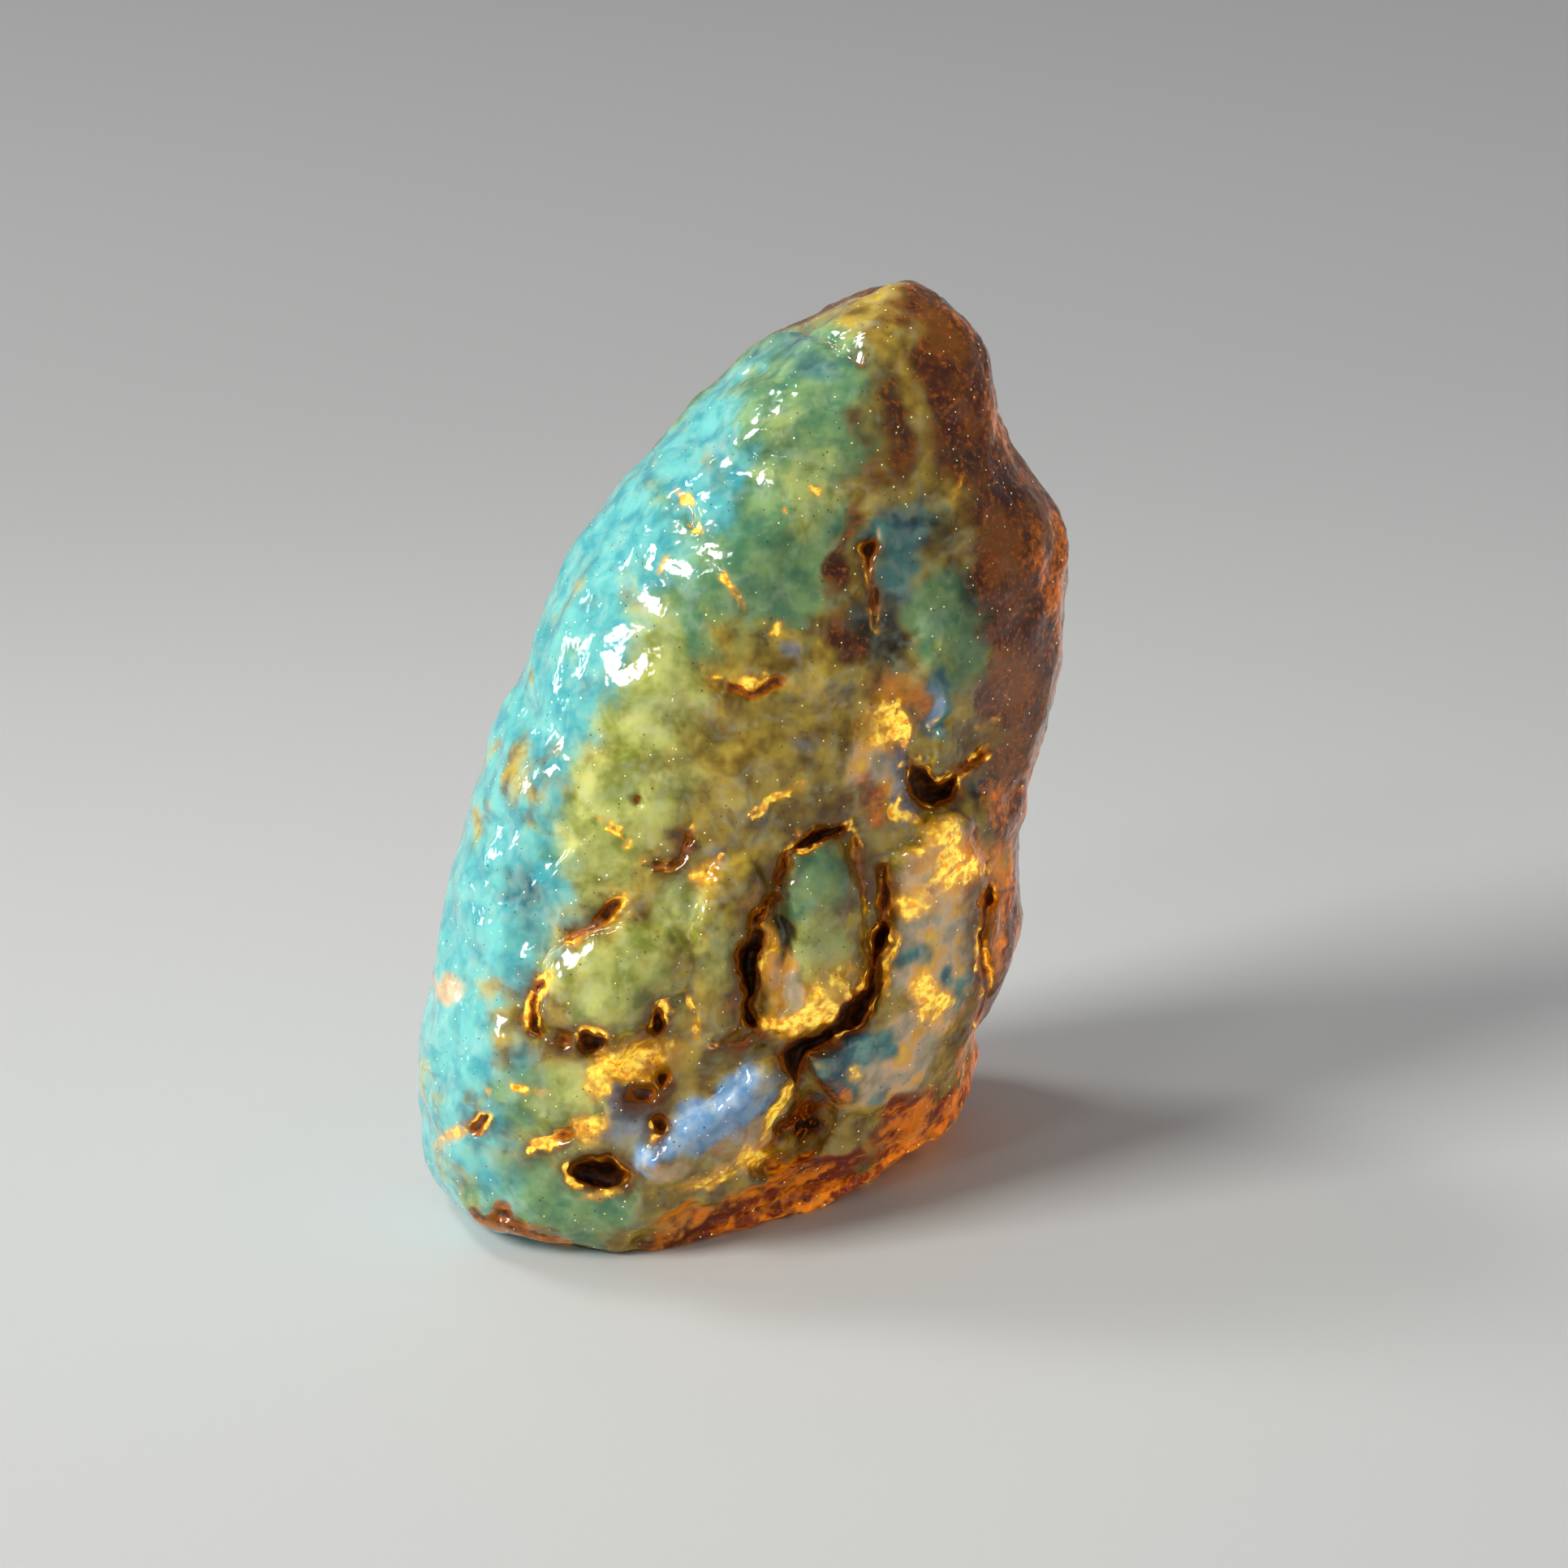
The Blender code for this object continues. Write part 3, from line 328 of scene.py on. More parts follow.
# Where the front's colours lie. Left of the first line it is turquoise, and right of the second brown.
TURQUOISE_EDGE = (
    (0.6, 70.4), (0.4, 61.0), (-2.4, 53.3), (-8.2, 46.6), (-10.8, 38.5),
    (-12.6, 30.9), (-14.6, 24.6), (-16.6, 17.3), (-17.6, 10.9), (-18.6, 4.6),
)
TURQUOISE_SOFTNESS = 6.2
BROWN_EDGE = (
    (13.6, 76.5), (15.0, 67.2), (15.4, 62.1), (16.8, 57.1), (18.2, 52.0),
    (19.8, 45.7), (18.2, 38.7), (19.6, 33.6), (20.3, 25.0), (20.0, 16.0),
)
BROWN_SOFTNESS = 3.6
FRONT_COLOURS = {
    "green": (
        Patch((3.4, 66.0), 8.6, 9.0, 1.0, 20.0), Patch((1.0, 56.0), 8.5, 9.0, 1.0),
        Patch((-4.0, 50.0), 5.0, 6.0, 0.9), Patch((16.2, 47.4), 3.8, 5.0, 0.9),
        Patch((-13.5, 3.8), 7.5, 4.0, 1.0, -8.0), Patch((6.2, 28.4), 3.0, 4.4, 0.75, -20.0),
        Patch((-16.0, 12.0), 4.0, 5.0, 0.7), Patch((-13.4, 30.0), 4.0, 6.0, 0.6, 20.0),
    ),
    "lime": (
        Patch((-6.6, 43.0), 5.8, 10.0, 0.7, -10.0), Patch((-9.4, 35.0), 5.8, 7.6, 0.7, -10.0),
        Patch((-10.0, 21.4), 6.6, 5.2, 0.7, 10.0), Patch((-13.0, 10.4), 4.4, 4.0, 0.7),
        Patch((4.6, 60.4), 4.6, 4.6, 0.55, 20.0), Patch((6.6, 22.4), 3.0, 3.4, 1.0),
        Patch((-3.2, 24.0), 2.6, 5.0, 0.6), Patch((15.4, 44.8), 2.0, 1.4, 0.5),
    ),
    "teal": (
        Patch((5.0, 70.0), 4.6, 3.0, 0.6, -20.0), Patch((13.0, 54.6), 2.8, 5.2, 0.7, -6.0),
        Patch((15.0, 42.2), 2.4, 1.8, 0.9, 40.0), Patch((13.7, 23.8), 1.7, 1.6, 0.9),
        Patch((9.0, 15.4), 2.7, 2.0, 1.0, 20.0), Patch((6.7, 12.9), 1.7, 1.5, 0.9),
        Patch((11.2, 12.0), 2.0, 1.1, 0.7, 20.0), Patch((17.0, 20.8), 0.9, 1.8, 0.7),
        Patch((-16.6, 26.1), 2.6, 3.4, 0.6, 20.0), Patch((7.0, 29.4), 1.6, 1.8, 0.5),
    ),
    "violet": (
        Patch((4.6, 41.6), 3.0, 2.6, 0.3, 20.0), Patch((3.2, 46.4), 2.2, 1.4, 0.5),
        Patch((-8.2, 10.2), 3.2, 2.2, 0.9), Patch((12.6, 37.2), 1.1, 2.8, 0.8),
        Patch((-2.9, 62.0), 2.4, 1.4, 0.4, 40.0), Patch((1.2, 37.4), 2.6, 1.6, 0.4),
        Patch((-1.4, 10.4), 2.6, 1.4, 0.7, 30.0), Patch((-1.6, 30.4), 1.6, 1.2, 0.5),
    ),
    "opal": (
        Patch((15.4, 25.6), 3.2, 8.0, 1.0), Patch((10.6, 37.6), 2.4, 3.4, 0.7),
        Patch((12.4, 14.4), 5.4, 3.4, 1.0, 25.0), Patch((2.9, 22.0), 1.6, 4.4, 0.75, 4.0),
    ),
    "peach": (
        Patch((0.4, 8.6), 2.8, 1.8, 0.9, 34.0), Patch((-4.6, 6.6), 2.6, 1.0, 0.7, 10.0),
        Patch((-8.0, 51.0), 1.6, 1.4, 0.5), Patch((-23.6, 21.3), 2.4, 1.4, 0.8),
        Patch((14.6, 31.4), 1.8, 1.4, 0.7),
    ),
    "blue": (
        Patch((1.2, 12.9), 3.4, 1.8, 1.0, 45.0), Patch((-2.4, 10.2), 3.6, 1.8, 1.0, 34.0),
        Patch((-6.4, 7.4), 1.8, 1.1, 0.8, 20.0), Patch((14.9, 42.0), 1.7, 0.9, 0.9, 45.0),
    ),
    "amber": (
        Patch((11.8, 41.2), 3.0, 3.6, 0.6, 10.0), Patch((20.4, 26.0), 1.8, 6.0, 0.9),
        Patch((13.4, 8.8), 5.4, 2.2, 0.9, 24.0), Patch((10.6, 35.6), 1.2, 3.0, 0.6),
        Patch((17.6, 30.0), 1.8, 2.8, 0.8, 10.0), Patch((-0.6, 17.0), 2.0, 1.0, 0.6),
        Patch((7.2, 12.0), 1.0, 1.4, 0.6),
    ),
    "brown": (
        Patch((11.6, 66.0), 3.0, 9.0, 0.6, 8.0), Patch((8.4, 55.0), 1.6, 4.4, 0.6, -16.0),
        Patch((9.0, 47.8), 2.4, 3.4, 0.7, 10.0), Patch((4.9, 10.4), 2.2, 3.6, 0.95, -20.0),
        Patch((-0.6, 17.6), 2.0, 1.2, 0.5), Patch((-5.4, 31.6), 2.4, 1.4, 0.6),
        Patch((8.6, 33.8), 1.6, 1.6, 0.5),
    ),
    "dark": (
        Patch((11.2, 47.0), 2.4, 4.2, 0.7, 10.0), Patch((16.6, 61.2), 1.8, 3.0, 0.6),
        Patch((15.6, 55.4), 1.8, 3.2, 0.4), Patch((18.6, 50.0), 1.4, 3.6, 0.6),
        Patch((-6.2, 12.4), 1.2, 1.8, 0.9), Patch((3.7, 24.4), 1.2, 2.6, 0.7, 10.0),
        Patch((18.2, 37.0), 2.4, 1.4, 0.8, 10.0), Patch((5.2, 9.2), 1.2, 1.8, 0.8),
    ),
}
BACK_COLOURS = {
    "green": (
        Patch((4.0, 48.0), 9.0, 12.0, 0.9, 20.0), Patch((10.0, 12.0), 7.0, 5.0, 0.7),
        Patch((2.0, 64.0), 6.0, 6.0, 0.7), Patch((12.0, 28.0), 6.0, 8.0, 0.7),
    ),
    "lime": (
        Patch((2.0, 30.0), 7.0, 6.0, 0.9, 30.0), Patch((8.0, 36.0), 5.0, 6.0, 0.6),
    ),
    "teal": (
        Patch((9.0, 24.0), 3.4, 3.0, 0.8), Patch((-4.0, 31.0), 3.0, 2.0, 0.8),
        Patch((3.0, 58.0), 3.0, 3.0, 0.7),
    ),
    "violet": (
        Patch((13.0, 30.0), 3.0, 4.0, 0.6), Patch((-1.0, 47.0), 3.0, 3.0, 0.6),
    ),
    "opal": (
        Patch((-4.0, 25.5), 7.0, 3.4, 0.9, -35.0), Patch((8.0, 16.0), 5.0, 3.0, 0.7, 50.0),
    ),
    "peach": (
        Patch((6.0, 10.0), 3.0, 2.0, 0.6),
    ),
    "blue": (
        Patch((3.0, 22.0), 3.4, 1.8, 0.9, -40.0),
    ),
    "amber": (
        Patch((-10.0, 8.0), 10.0, 5.0, 0.9), Patch((1.0, 16.0), 3.0, 2.0, 0.7, -45.0),
    ),
    "brown": (
        Patch((-8.0, 44.0), 5.0, 7.0, 0.8, 10.0), Patch((2.0, 8.0), 6.0, 3.0, 0.6),
    ),
    "dark": (
        Patch((-7.0, 46.0), 2.4, 3.0, 0.8), Patch((-12.0, 22.0), 3.4, 1.6, 0.8, -35.0),
    ),
}
ZONES = (
    "green", "turquoise", "lime", "opal", "teal", "violet", "peach", "blue", "brown", "dark", "amber",
)
CLEAR_ZONES = ("brown", "dark", "amber")
CLOUD_SPACING = 3.2
ZONE_WARP = ((7.0, 1.3), (1.8, 0.5))
PATCH_FADE = (0.3, 1.5)

# Two tones of each colour, as 8-bit screen values, with the darker one first
TONES = {
    "base": ((120, 88, 10), (212, 180, 66)),
    "turquoise": ((66, 164, 172), (122, 208, 200)),
    "green": ((82, 134, 96), (146, 180, 112)),
    "lime": ((144, 154, 54), (216, 218, 124)),
    "teal": ((36, 90, 104), (92, 150, 140)),
    "violet": ((110, 118, 130), (172, 172, 182)),
    "peach": ((196, 144, 92), (236, 206, 164)),
    "blue": ((106, 162, 212), (200, 222, 240)),
    "brown": ((70, 26, 0), (132, 76, 0)),
    "dark": ((12, 18, 14), (46, 54, 40)),
    "amber": ((92, 32, 0), (236, 140, 8)),
    "gold": ((228, 136, 2), (255, 224, 84)),
    # The rim's tones are painted backlight
    "rim": ((140, 62, 2), (208, 108, 8)),
}
# The soft mottles of the opal-like parts
MOTTLES = (
    (0.0, (255, 206, 70)), (0.3, (236, 176, 76)), (0.5, (226, 188, 138)), (0.7, (186, 168, 140)),
    (1.0, (146, 136, 80)),
)
# Single colours laid over the tones, each with the most of it that shows. Crease shade is painted shade
# beside hollows, edge is painted shade along them, gold glow is a painted glow around the gold, and
# glints are painted glints.
LAID = {
    "wisp": ((206, 222, 196), 0.22),
    "fold": ((74, 54, 10), 0.6),
    "edge": ((124, 72, 10), 0.7),
    "embers": ((200, 104, 4), 0.6),
    "halo": ((236, 160, 22), 0.8),
    "dark specks": ((44, 30, 8), 0.7),
    "glints": ((255, 238, 170), 1.0),
    "hollow bits": ((132, 72, 8), 0.8),
}
# From a hollow's rim to its floor: where each colour starts and is full, and the colour. The orange at
# the rim is painted glow, and the darkening to near black below it is painted shade.
HOLLOW = ((0.04, 0.24, (190, 104, 10)), (0.3, 0.6, (100, 52, 8)), (0.62, 1.1, (26, 14, 4)))

# How strongly parts of the colour glow as painted light, how clear they are, and how light goes through
# the amber
GLOW = {
    "gold": 0.35, "glints": 0.5, "rim": 0.65, "edge": 0.1,
    "opal": 0.2, "halo": 0.2, "brown": 0.25, "amber": 0.35,
}
CLEARNESS = {"amber": 0.85, "rim": 0.8, "brown": 0.5, "edge": 0.4}
LEAST_CLEARNESS = 0.1
AMBER_IOR = 1.54
PASSED_LIGHT = (0.94, 0.80, 0.0, 1.0)
ABSORPTION = 450.0
SKIN_ROUGHNESS = 0.1
HOLLOW_ROUGHNESS = 0.45
SKIN_BUMP = 0.12
MILKINESS = 0.35
MILK_REACH = 1.2
MILK_TINT = (1.0, 0.9, 0.5)

# The studio, placed in metres
Softbox = namedtuple("Softbox", "name place width height power spread")
SOFTBOXES = (
    Softbox("side glint", (-0.48, 0.12, 0.13), 0.07, 0.16, 0.035, 50.0),
    Softbox("high glint", (-0.26, 0.12, 0.45), 0.11, 0.11, 0.05, 50.0),
    Softbox("front glint", (-0.26, -0.40, 0.42), 0.07, 0.07, 0.018, 50.0),
    Softbox("key", (-0.96, -0.51, 0.78), 0.45, 0.45, 16.6, 180.0),
)
ROOM_COLOUR = (0.94, 0.97, 1.0, 1.0)
ROOM_LIGHT = 0.28
FLOOR_SIZE = 8.0
FLOOR_TONE = (206, 206, 203)


def smooth_step(start, end, values):
    """0 before the start, 1 after the end, and an even curve between."""
    t = np.clip((values - start) / (end - start), 0.0, 1.0)
    return t * t * (3 - 2 * t)


def section_at(heights):
    """The section's values at each height, on smooth curves through SECTIONS."""
    rows = np.array(SECTIONS)
    known = rows[:, 0]
    slopes = np.gradient(rows, known, axis=0)
    below = np.clip(np.searchsorted(known, heights, side="right") - 1, 0, len(known) - 2)
    gap = (known[below + 1] - known[below])[:, None]
    t = ((heights - known[below])[:, None]) / gap
    values = (
        (2 * t**3 - 3 * t**2 + 1) * rows[below]
        + (t**3 - 2 * t**2 + t) * gap * slopes[below]
        + (3 * t**2 - 2 * t**3) * rows[below + 1]
        + (t**3 - t**2) * gap * slopes[below + 1]
    )
    return Section(*values.T)


def ring(section, inset):
    """The points of one horizontal section, drawn in from its full size by the inset."""
    angles = np.linspace(0.0, 2 * math.pi, RING_POINTS, endpoint=False)
    turn = math.radians(section.turn)
    half_width = (section.right - section.left) / 2
    half_depth = section.depth / 2
    half_length = math.sqrt(half_width**2 - (half_depth * math.sin(turn)) ** 2) / math.cos(turn)
    along = half_length * np.sign(np.cos(angles)) * np.abs(np.cos(angles)) ** (2 / CORNER)
    across = half_depth * np.sign(np.sin(angles)) * np.abs(np.sin(angles)) ** (2 / CORNER)
    x = along * math.cos(turn) - across * math.sin(turn)
    y = along * math.sin(turn) + across * math.cos(turn)
    x *= half_width / x.max()
    shrink = 1 - inset / half_depth
    middle_x = (section.left + section.right) / 2
    return np.stack([middle_x + x * shrink, section.middle + y * shrink], axis=1)


def inset_at(height, section):
    """How far a ring is drawn in where the body rounds into its underside and its crown."""
    if height < UNDERSIDE_ROUNDING:
        rise = 1 - max(height, 0.0) / UNDERSIDE_ROUNDING
        return UNDERSIDE_INSET * (1 - math.sqrt(1 - rise**2))
    if height > HEIGHT - CROWN_ROUNDING:
        rise = 1 - (HEIGHT - height) / CROWN_ROUNDING
        return section.depth / 2 * (1 - math.sqrt(1 - rise**2))
    return 0.0


def body_points():
    """Rings of points from below the table to the crown, as an array of rings x points x 3."""
    rise = 0.5 - 0.5 * np.cos(np.linspace(0.0, math.pi, RINGS))
    heights = -SUNK + (HEIGHT + SUNK) * (rise + np.linspace(0.0, 1.0, RINGS)) / 2
    heights[-1] = HEIGHT - 0.02
    values = section_at(heights)
    rings = []
    for i, height in enumerate(heights):
        section = Section(*(column[i] for column in values))
        flat = ring(section, inset_at(height, section))
        rings.append(np.column_stack([flat, np.full(RING_POINTS, height)]))
    points = np.array(rings)
    reach = smooth_step(LIFT_START, LIFT_END, points[..., 0])
    fade = np.clip(1 - points[..., 2] / LIFT_REACH, 0.0, 1.0)
    points[..., 2] += LIFT * reach * fade**2
    return points


def outward_directions(points):
    """The body's outward direction at each point of its rings."""
    along = np.roll(points, -1, axis=1) - np.roll(points, 1, axis=1)
    upward = np.gradient(points, axis=0)
    out = np.cross(along, upward)
    return out / np.maximum(np.linalg.norm(out, axis=2, keepdims=True), 1e-9)


def smooth_curve(points, closed):
    """A smooth curve through the points, as a denser line."""
    known = np.array(points, dtype=float)
    if closed:
        padded = np.vstack([known[-1], known, known[0], known[1]])
    else:
        padded = np.vstack([2 * known[0] - known[1], known, 2 * known[-1] - known[-2]])
    dense = []
    for before, start, end, after in zip(padded, padded[1:], padded[2:], padded[3:]):
        for t in np.arange(CURVE_STEPS) / CURVE_STEPS:
            dense.append(
                0.5 * (2 * start + (end - before) * t
                       + (2 * before - 5 * start + 4 * end - after) * t**2
                       + (3 * start - before - 3 * end + after) * t**3)
            )
    dense.append(known[0] if closed else known[-1])
    return np.array(dense)


def distance_to(line, u, v):
    """Each place's distance from the line, and how far along the line, from 0 to 1, it is."""
    best = np.full(u.shape, 1e9)
    along = np.zeros(u.shape)
    lengths = np.linalg.norm(np.diff(line, axis=0), axis=1)
    total = lengths.sum()
    gone = 0.0
    for start, end, length in zip(line, line[1:], lengths):
        step = (end - start) / max(length, 1e-9)
        t = np.clip((u - start[0]) * step[0] + (v - start[1]) * step[1], 0.0, length)
        gap = np.hypot(u - start[0] - t * step[0], v - start[1] - t * step[1])
        nearer = gap < best
        best[nearer] = gap[nearer]
        along[nearer] = (gone + t[nearer]) / total
        gone += length
    return best, along


def inside(line, u, v):
    """Whether each place lies inside the closed line."""
    within = np.zeros(u.shape, dtype=bool)
    for start, end in zip(line, line[1:]):
        crosses = (start[1] > v) != (end[1] > v)
        rise = end[1] - start[1]
        safe = rise if abs(rise) > 1e-12 else 1e-12
        within ^= crosses & (u < (end[0] - start[0]) * (v - start[1]) / safe + start[0])
    return within


def near_line(line, margin, u, v):
    """Which places lie in the box around the line and its margin."""
    low, high = line.min(axis=0) - margin, line.max(axis=0) + margin
    return (u > low[0]) & (u < high[0]) & (v > low[1]) & (v < high[1])


def lobe_height(lobe, u, v):
    line = smooth_curve(lobe.outline, closed=True)
    height = np.zeros(u.shape)
    near = near_line(line, 0.0, u, v)
    near[near] = inside(line, u[near], v[near])
    gap, _ = distance_to(line, u[near], v[near])
    rise = 1 - np.minimum(gap / lobe.edge, 1.0)
    height[near] = lobe.height * np.sqrt(1 - rise**2)
    return height


def channel_reach(channel, u, v, margin):
    """Which places are near the channel, how far past its edge, and its depth and half width there."""
    line = smooth_curve(channel.route, closed=False)
    near = near_line(line, margin + max(channel.start_width, channel.end_width), u, v)
    gap, along = distance_to(line, u[near], v[near])
    width = channel.start_width + (channel.end_width - channel.start_width) * along
    spacing, size = WIDTH_WANDER
    width *= 0.92 + size * swell_at(np.stack([u[near], v[near], along], axis=-1), spacing, 61)
    rounding = np.clip(np.minimum(along, 1 - along) / 0.2, 0.25, 1.0)
    half = np.maximum(width / 2 * np.sqrt(rounding), 0.1)
    return near, gap - half, channel.depth * rounding, half


def channel_height(channel, u, v):
    height = np.zeros(u.shape)
    near, past, depth, half = channel_reach(channel, u, v, 0.0)
    ratio = np.minimum((past + half) / half, 1.0)
    height[near] = -depth * np.sqrt(1 - ratio**2)
    return height


def oval_reach(oval, u, v):
    """0 at the middle of a turned oval, such as a pit, and 1 at its rim."""
    turn = math.radians(oval.turn)
    du, dv = u - oval.place[0], v - oval.place[1]
    first = (du * math.cos(turn) + dv * math.sin(turn)) / oval.across
    second = (dv * math.cos(turn) - du * math.sin(turn)) / oval.along
    return np.hypot(first, second)


def mound_height(mound, u, v):
    reach = np.minimum(oval_reach(mound, u, v), 1.0)
    return mound.height * (1 - reach**2) ** 2


def pit_height(pit, u, v):
    reach = np.minimum(oval_reach(pit, u, v), 1.0)
    return -pit.depth * np.sqrt(1 - reach**4)


def drawn_height(lobes, mounds, channels, pits, u, v):
    """How far all the shapes drawn on one side raise the surface at each place."""
    height = np.zeros(u.shape)
    for shapes, height_of in (
        (lobes, lobe_height), (mounds, mound_height), (channels, channel_height), (pits, pit_height)
    ):
        for shape in shapes:
            height += height_of(shape, u, v)
    return height


def swell_at(points, spacing, seed):
    """Smooth noise between about -1 and 1, with swells about the spacing apart."""
    offset = Vector([seed * step for step in SEED_STEP])
    flat = points.reshape(-1, 3) / spacing
    values = [noise.noise(Vector(point) + offset) for point in flat.tolist()]
    return np.array(values).reshape(points.shape[:-1]) * 2


def front_view(points):
    """Where the front shows each point, right and up from the foot, and the sight line to it."""
    forward = np.array([0.0, math.cos(FRONT_ELEVATION), -math.sin(FRONT_ELEVATION)])
    upward = np.array([0.0, math.sin(FRONT_ELEVATION), math.cos(FRONT_ELEVATION)])
    eye = np.array(FRONT_AIM) - forward * FRONT_DISTANCE
    sight = points - eye
    depth = sight @ forward
    u = sight[..., 0] * FRONT_DISTANCE / depth + FRONT_AIM[0]
    v = sight @ upward * FRONT_DISTANCE / depth - FRONT_FOOT
    return u, v, -sight / np.linalg.norm(sight, axis=-1, keepdims=True)


def wandered(u, v):
    """The places, moved a little so that what is drawn there has uneven edges."""
    flat = np.stack([u, v, np.zeros(u.shape)], axis=-1)
    for seed, (spacing, size) in zip((1, 51), (EDGE_WANDER, FINE_WANDER)):
        u = u + swell_at(flat, spacing, seed) * size
        v = v + swell_at(flat, spacing, seed + 1) * size
    return u, v


def worked_surface(points):
    """The body's points, moved by the shapes on its front and back and by small swells."""
    out = outward_directions(points)
    u, v, toward = front_view(points)
    facing = smooth_step(0.05, 0.4, (out * toward).sum(axis=2))
    channels = FRONT_CHANNELS + FINE_CRACKS
    raised = drawn_height(FRONT_LOBES, FRONT_MOUNDS, channels, FRONT_PITS, *wandered(u, v))
    moved = points + toward * (raised * facing)[..., None]

    u, v = -points[..., 0], points[..., 2]
    behind = smooth_step(0.05, 0.5, out[..., 1]) * (1 - facing)
    raised = drawn_height(BACK_LOBES, BACK_MOUNDS, BACK_CHANNELS, BACK_PITS, *wandered(u, v))
    moved += np.array([0.0, 1.0, 0.0]) * (raised * behind)[..., None]

    away = smooth_step(-0.1, 0.6, -(out * toward).sum(axis=2))
    for seed, (swell, back_swell) in enumerate(zip(SWELLS, BACK_SWELLS)):
        everywhere = swell_at(points, swell[0], seed + 3) * swell[1]
        behind_only = swell_at(points, back_swell[0], seed + 6) * back_swell[1]
        moved += out * (everywhere + behind_only * away)[..., None]
    return moved


def ring_mesh(points):
    """A closed mesh over the rings, with its two ends filled."""
    count = points.shape[0]
    faces = []
    for row in range(count - 1):
        first, second = row * RING_POINTS, (row + 1) * RING_POINTS
        for i in range(RING_POINTS):
            j = (i + 1) % RING_POINTS
            faces.append((first + i, first + j, second + j, second + i))
    faces.append(tuple(reversed(range(RING_POINTS))))
    faces.append(tuple(range((count - 1) * RING_POINTS, count * RING_POINTS)))
    mesh = bpy.data.meshes.new("rings")
    mesh.from_pydata((points.reshape(-1, 3) * MM).tolist(), [], faces)
    mesh.update()
    return mesh


def placed(name, data):
    """A new object in the scene that shows the data."""
    piece = bpy.data.objects.new(name, data)
    bpy.context.scene.collection.objects.link(piece)
    return piece


def even_mesh(mesh):
    """The mesh remade with small even faces, and then with no more triangles than it may have."""
    piece = placed("even", mesh)
    remesh = piece.modifiers.new("remesh", "REMESH")
    remesh.mode = "VOXEL"
    remesh.voxel_size = REMESH_SIZE * MM
    bpy.context.view_layer.update()
    faces = len(piece.evaluated_get(bpy.context.evaluated_depsgraph_get()).data.polygons)
    decimate = piece.modifiers.new("decimate", "DECIMATE")
    decimate.ratio = min(1.0, TRIANGLES / (2 * faces))
    bpy.context.view_layer.update()
    finished = bpy.data.meshes.new_from_object(piece.evaluated_get(bpy.context.evaluated_depsgraph_get()))
    bpy.data.objects.remove(piece)
    finished.validate()
    return finished


def vectors(items, name):
    """One vector of each of a mesh's items, such as its place, as rows of an array."""
    flat = np.empty(len(items) * 3)
    items.foreach_get(name, flat)
    return flat.reshape(-1, 3)


def body_directions(points, body, out):
    """The plain body's outward direction nearest to each point."""
    step = 4
    coarse = body[::step, ::step].reshape(-1, 3)
    directions = out[::step, ::step].reshape(-1, 3)
    tree = kdtree.KDTree(len(coarse))
    for i, place in enumerate(coarse.tolist()):
        tree.insert(place, i)
    tree.balance()
    nearest = [tree.find(point)[1] for point in points.tolist()]
    return directions[nearest]


def layer_at(points):
    """The clear foot's tilted layers, as waves between -1 and 1."""
    tilted = points[:, 2] - LAYER_TILT * points[:, 0] + cloud_at(points, 5.0, 14) * 1.4
    waves = sum(np.sin(tilted * 2 * math.pi / length + start) for length, start in LAYER_WAVES)
    return waves * 0.5 * smooth_step(-0.5, 0.5, cloud_at(points, 3.4, 39))


def cloud_at(points, spacing, seed):
    """Cloudy noise between about -1 and 1, of three sizes at once."""
    cloud = 0.0
    for finer, share, shift in CLOUD_PARTS:
        cloud = cloud + swell_at(points, spacing / finer, seed + shift) * share
    return cloud


def patch_amount(patches, u, v):
    """The strongest patch's amount at each place: full at its middle and fading past its rim."""
    amount = np.zeros(u.shape)
    for patch in patches:
        reach = oval_reach(patch, u, v)
        amount = np.maximum(amount, patch.amount * (1 - smooth_step(*PATCH_FADE, reach)))
    return amount


def bell(past, reach, middle=0.0):
    """1 at the middle, fading to either side within about the reach."""
    return np.exp(-(((past - middle) / reach) ** 2))


def hollow_fields(channels, pits, u, v):
    """How deep in a hollow each place is, how near one, how near its edge, and the gold of its rim: the
    first three set painted shade and glow.
    """
    fields = np.zeros((4,) + u.shape)
    fold, edge, gold = CHANNEL_REACH
    for channel in channels:
        near, past, depth, _ = channel_reach(channel, u, v, HOLLOW_MARGIN)
        strength = smooth_step(0.5, 1.3, depth)
        deep = smooth_step(0.06, -0.6, past) * strength
        lined = bell(past, gold, 0.02) * channel.gold
        here = (deep, bell(past, fold) * strength, bell(past, edge) * strength, lined)
        fields[:, near] = np.maximum(fields[:, near], here)
    fold, edge, gold = PIT_REACH
    for pit in pits:
        past = (oval_reach(pit, u, v) - 1) * min(pit.across, pit.along)
        deep = smooth_step(0.05, -0.6, past) * min(pit.depth / 1.6, 1.0)
        lined = bell(past, gold, 0.05) * pit.gold
        fields = np.maximum(fields, (deep, bell(past, fold), bell(past, edge), lined))
    return fields


def line_side(line, u, v):
    """How far right of an upright line each place is."""
    points = np.array(sorted(line, key=lambda point: point[1]))
    return u - np.interp(v, points[:, 1], points[:, 0])


def warped(points):
    """The points, moved about so that what is drawn there in colour has cloudy edges."""
    moved = points.copy()
    for seed, (spacing, size) in enumerate(ZONE_WARP):
        for axis in range(3):
            moved[:, axis] += swell_at(points, spacing, 40 + seed * 3 + axis) * size
    return moved


def both_sides(front, ahead, behind):
    """What is drawn on the front, as far as each point belongs to it, and else what is behind."""
    return front * ahead + (1 - front) * behind


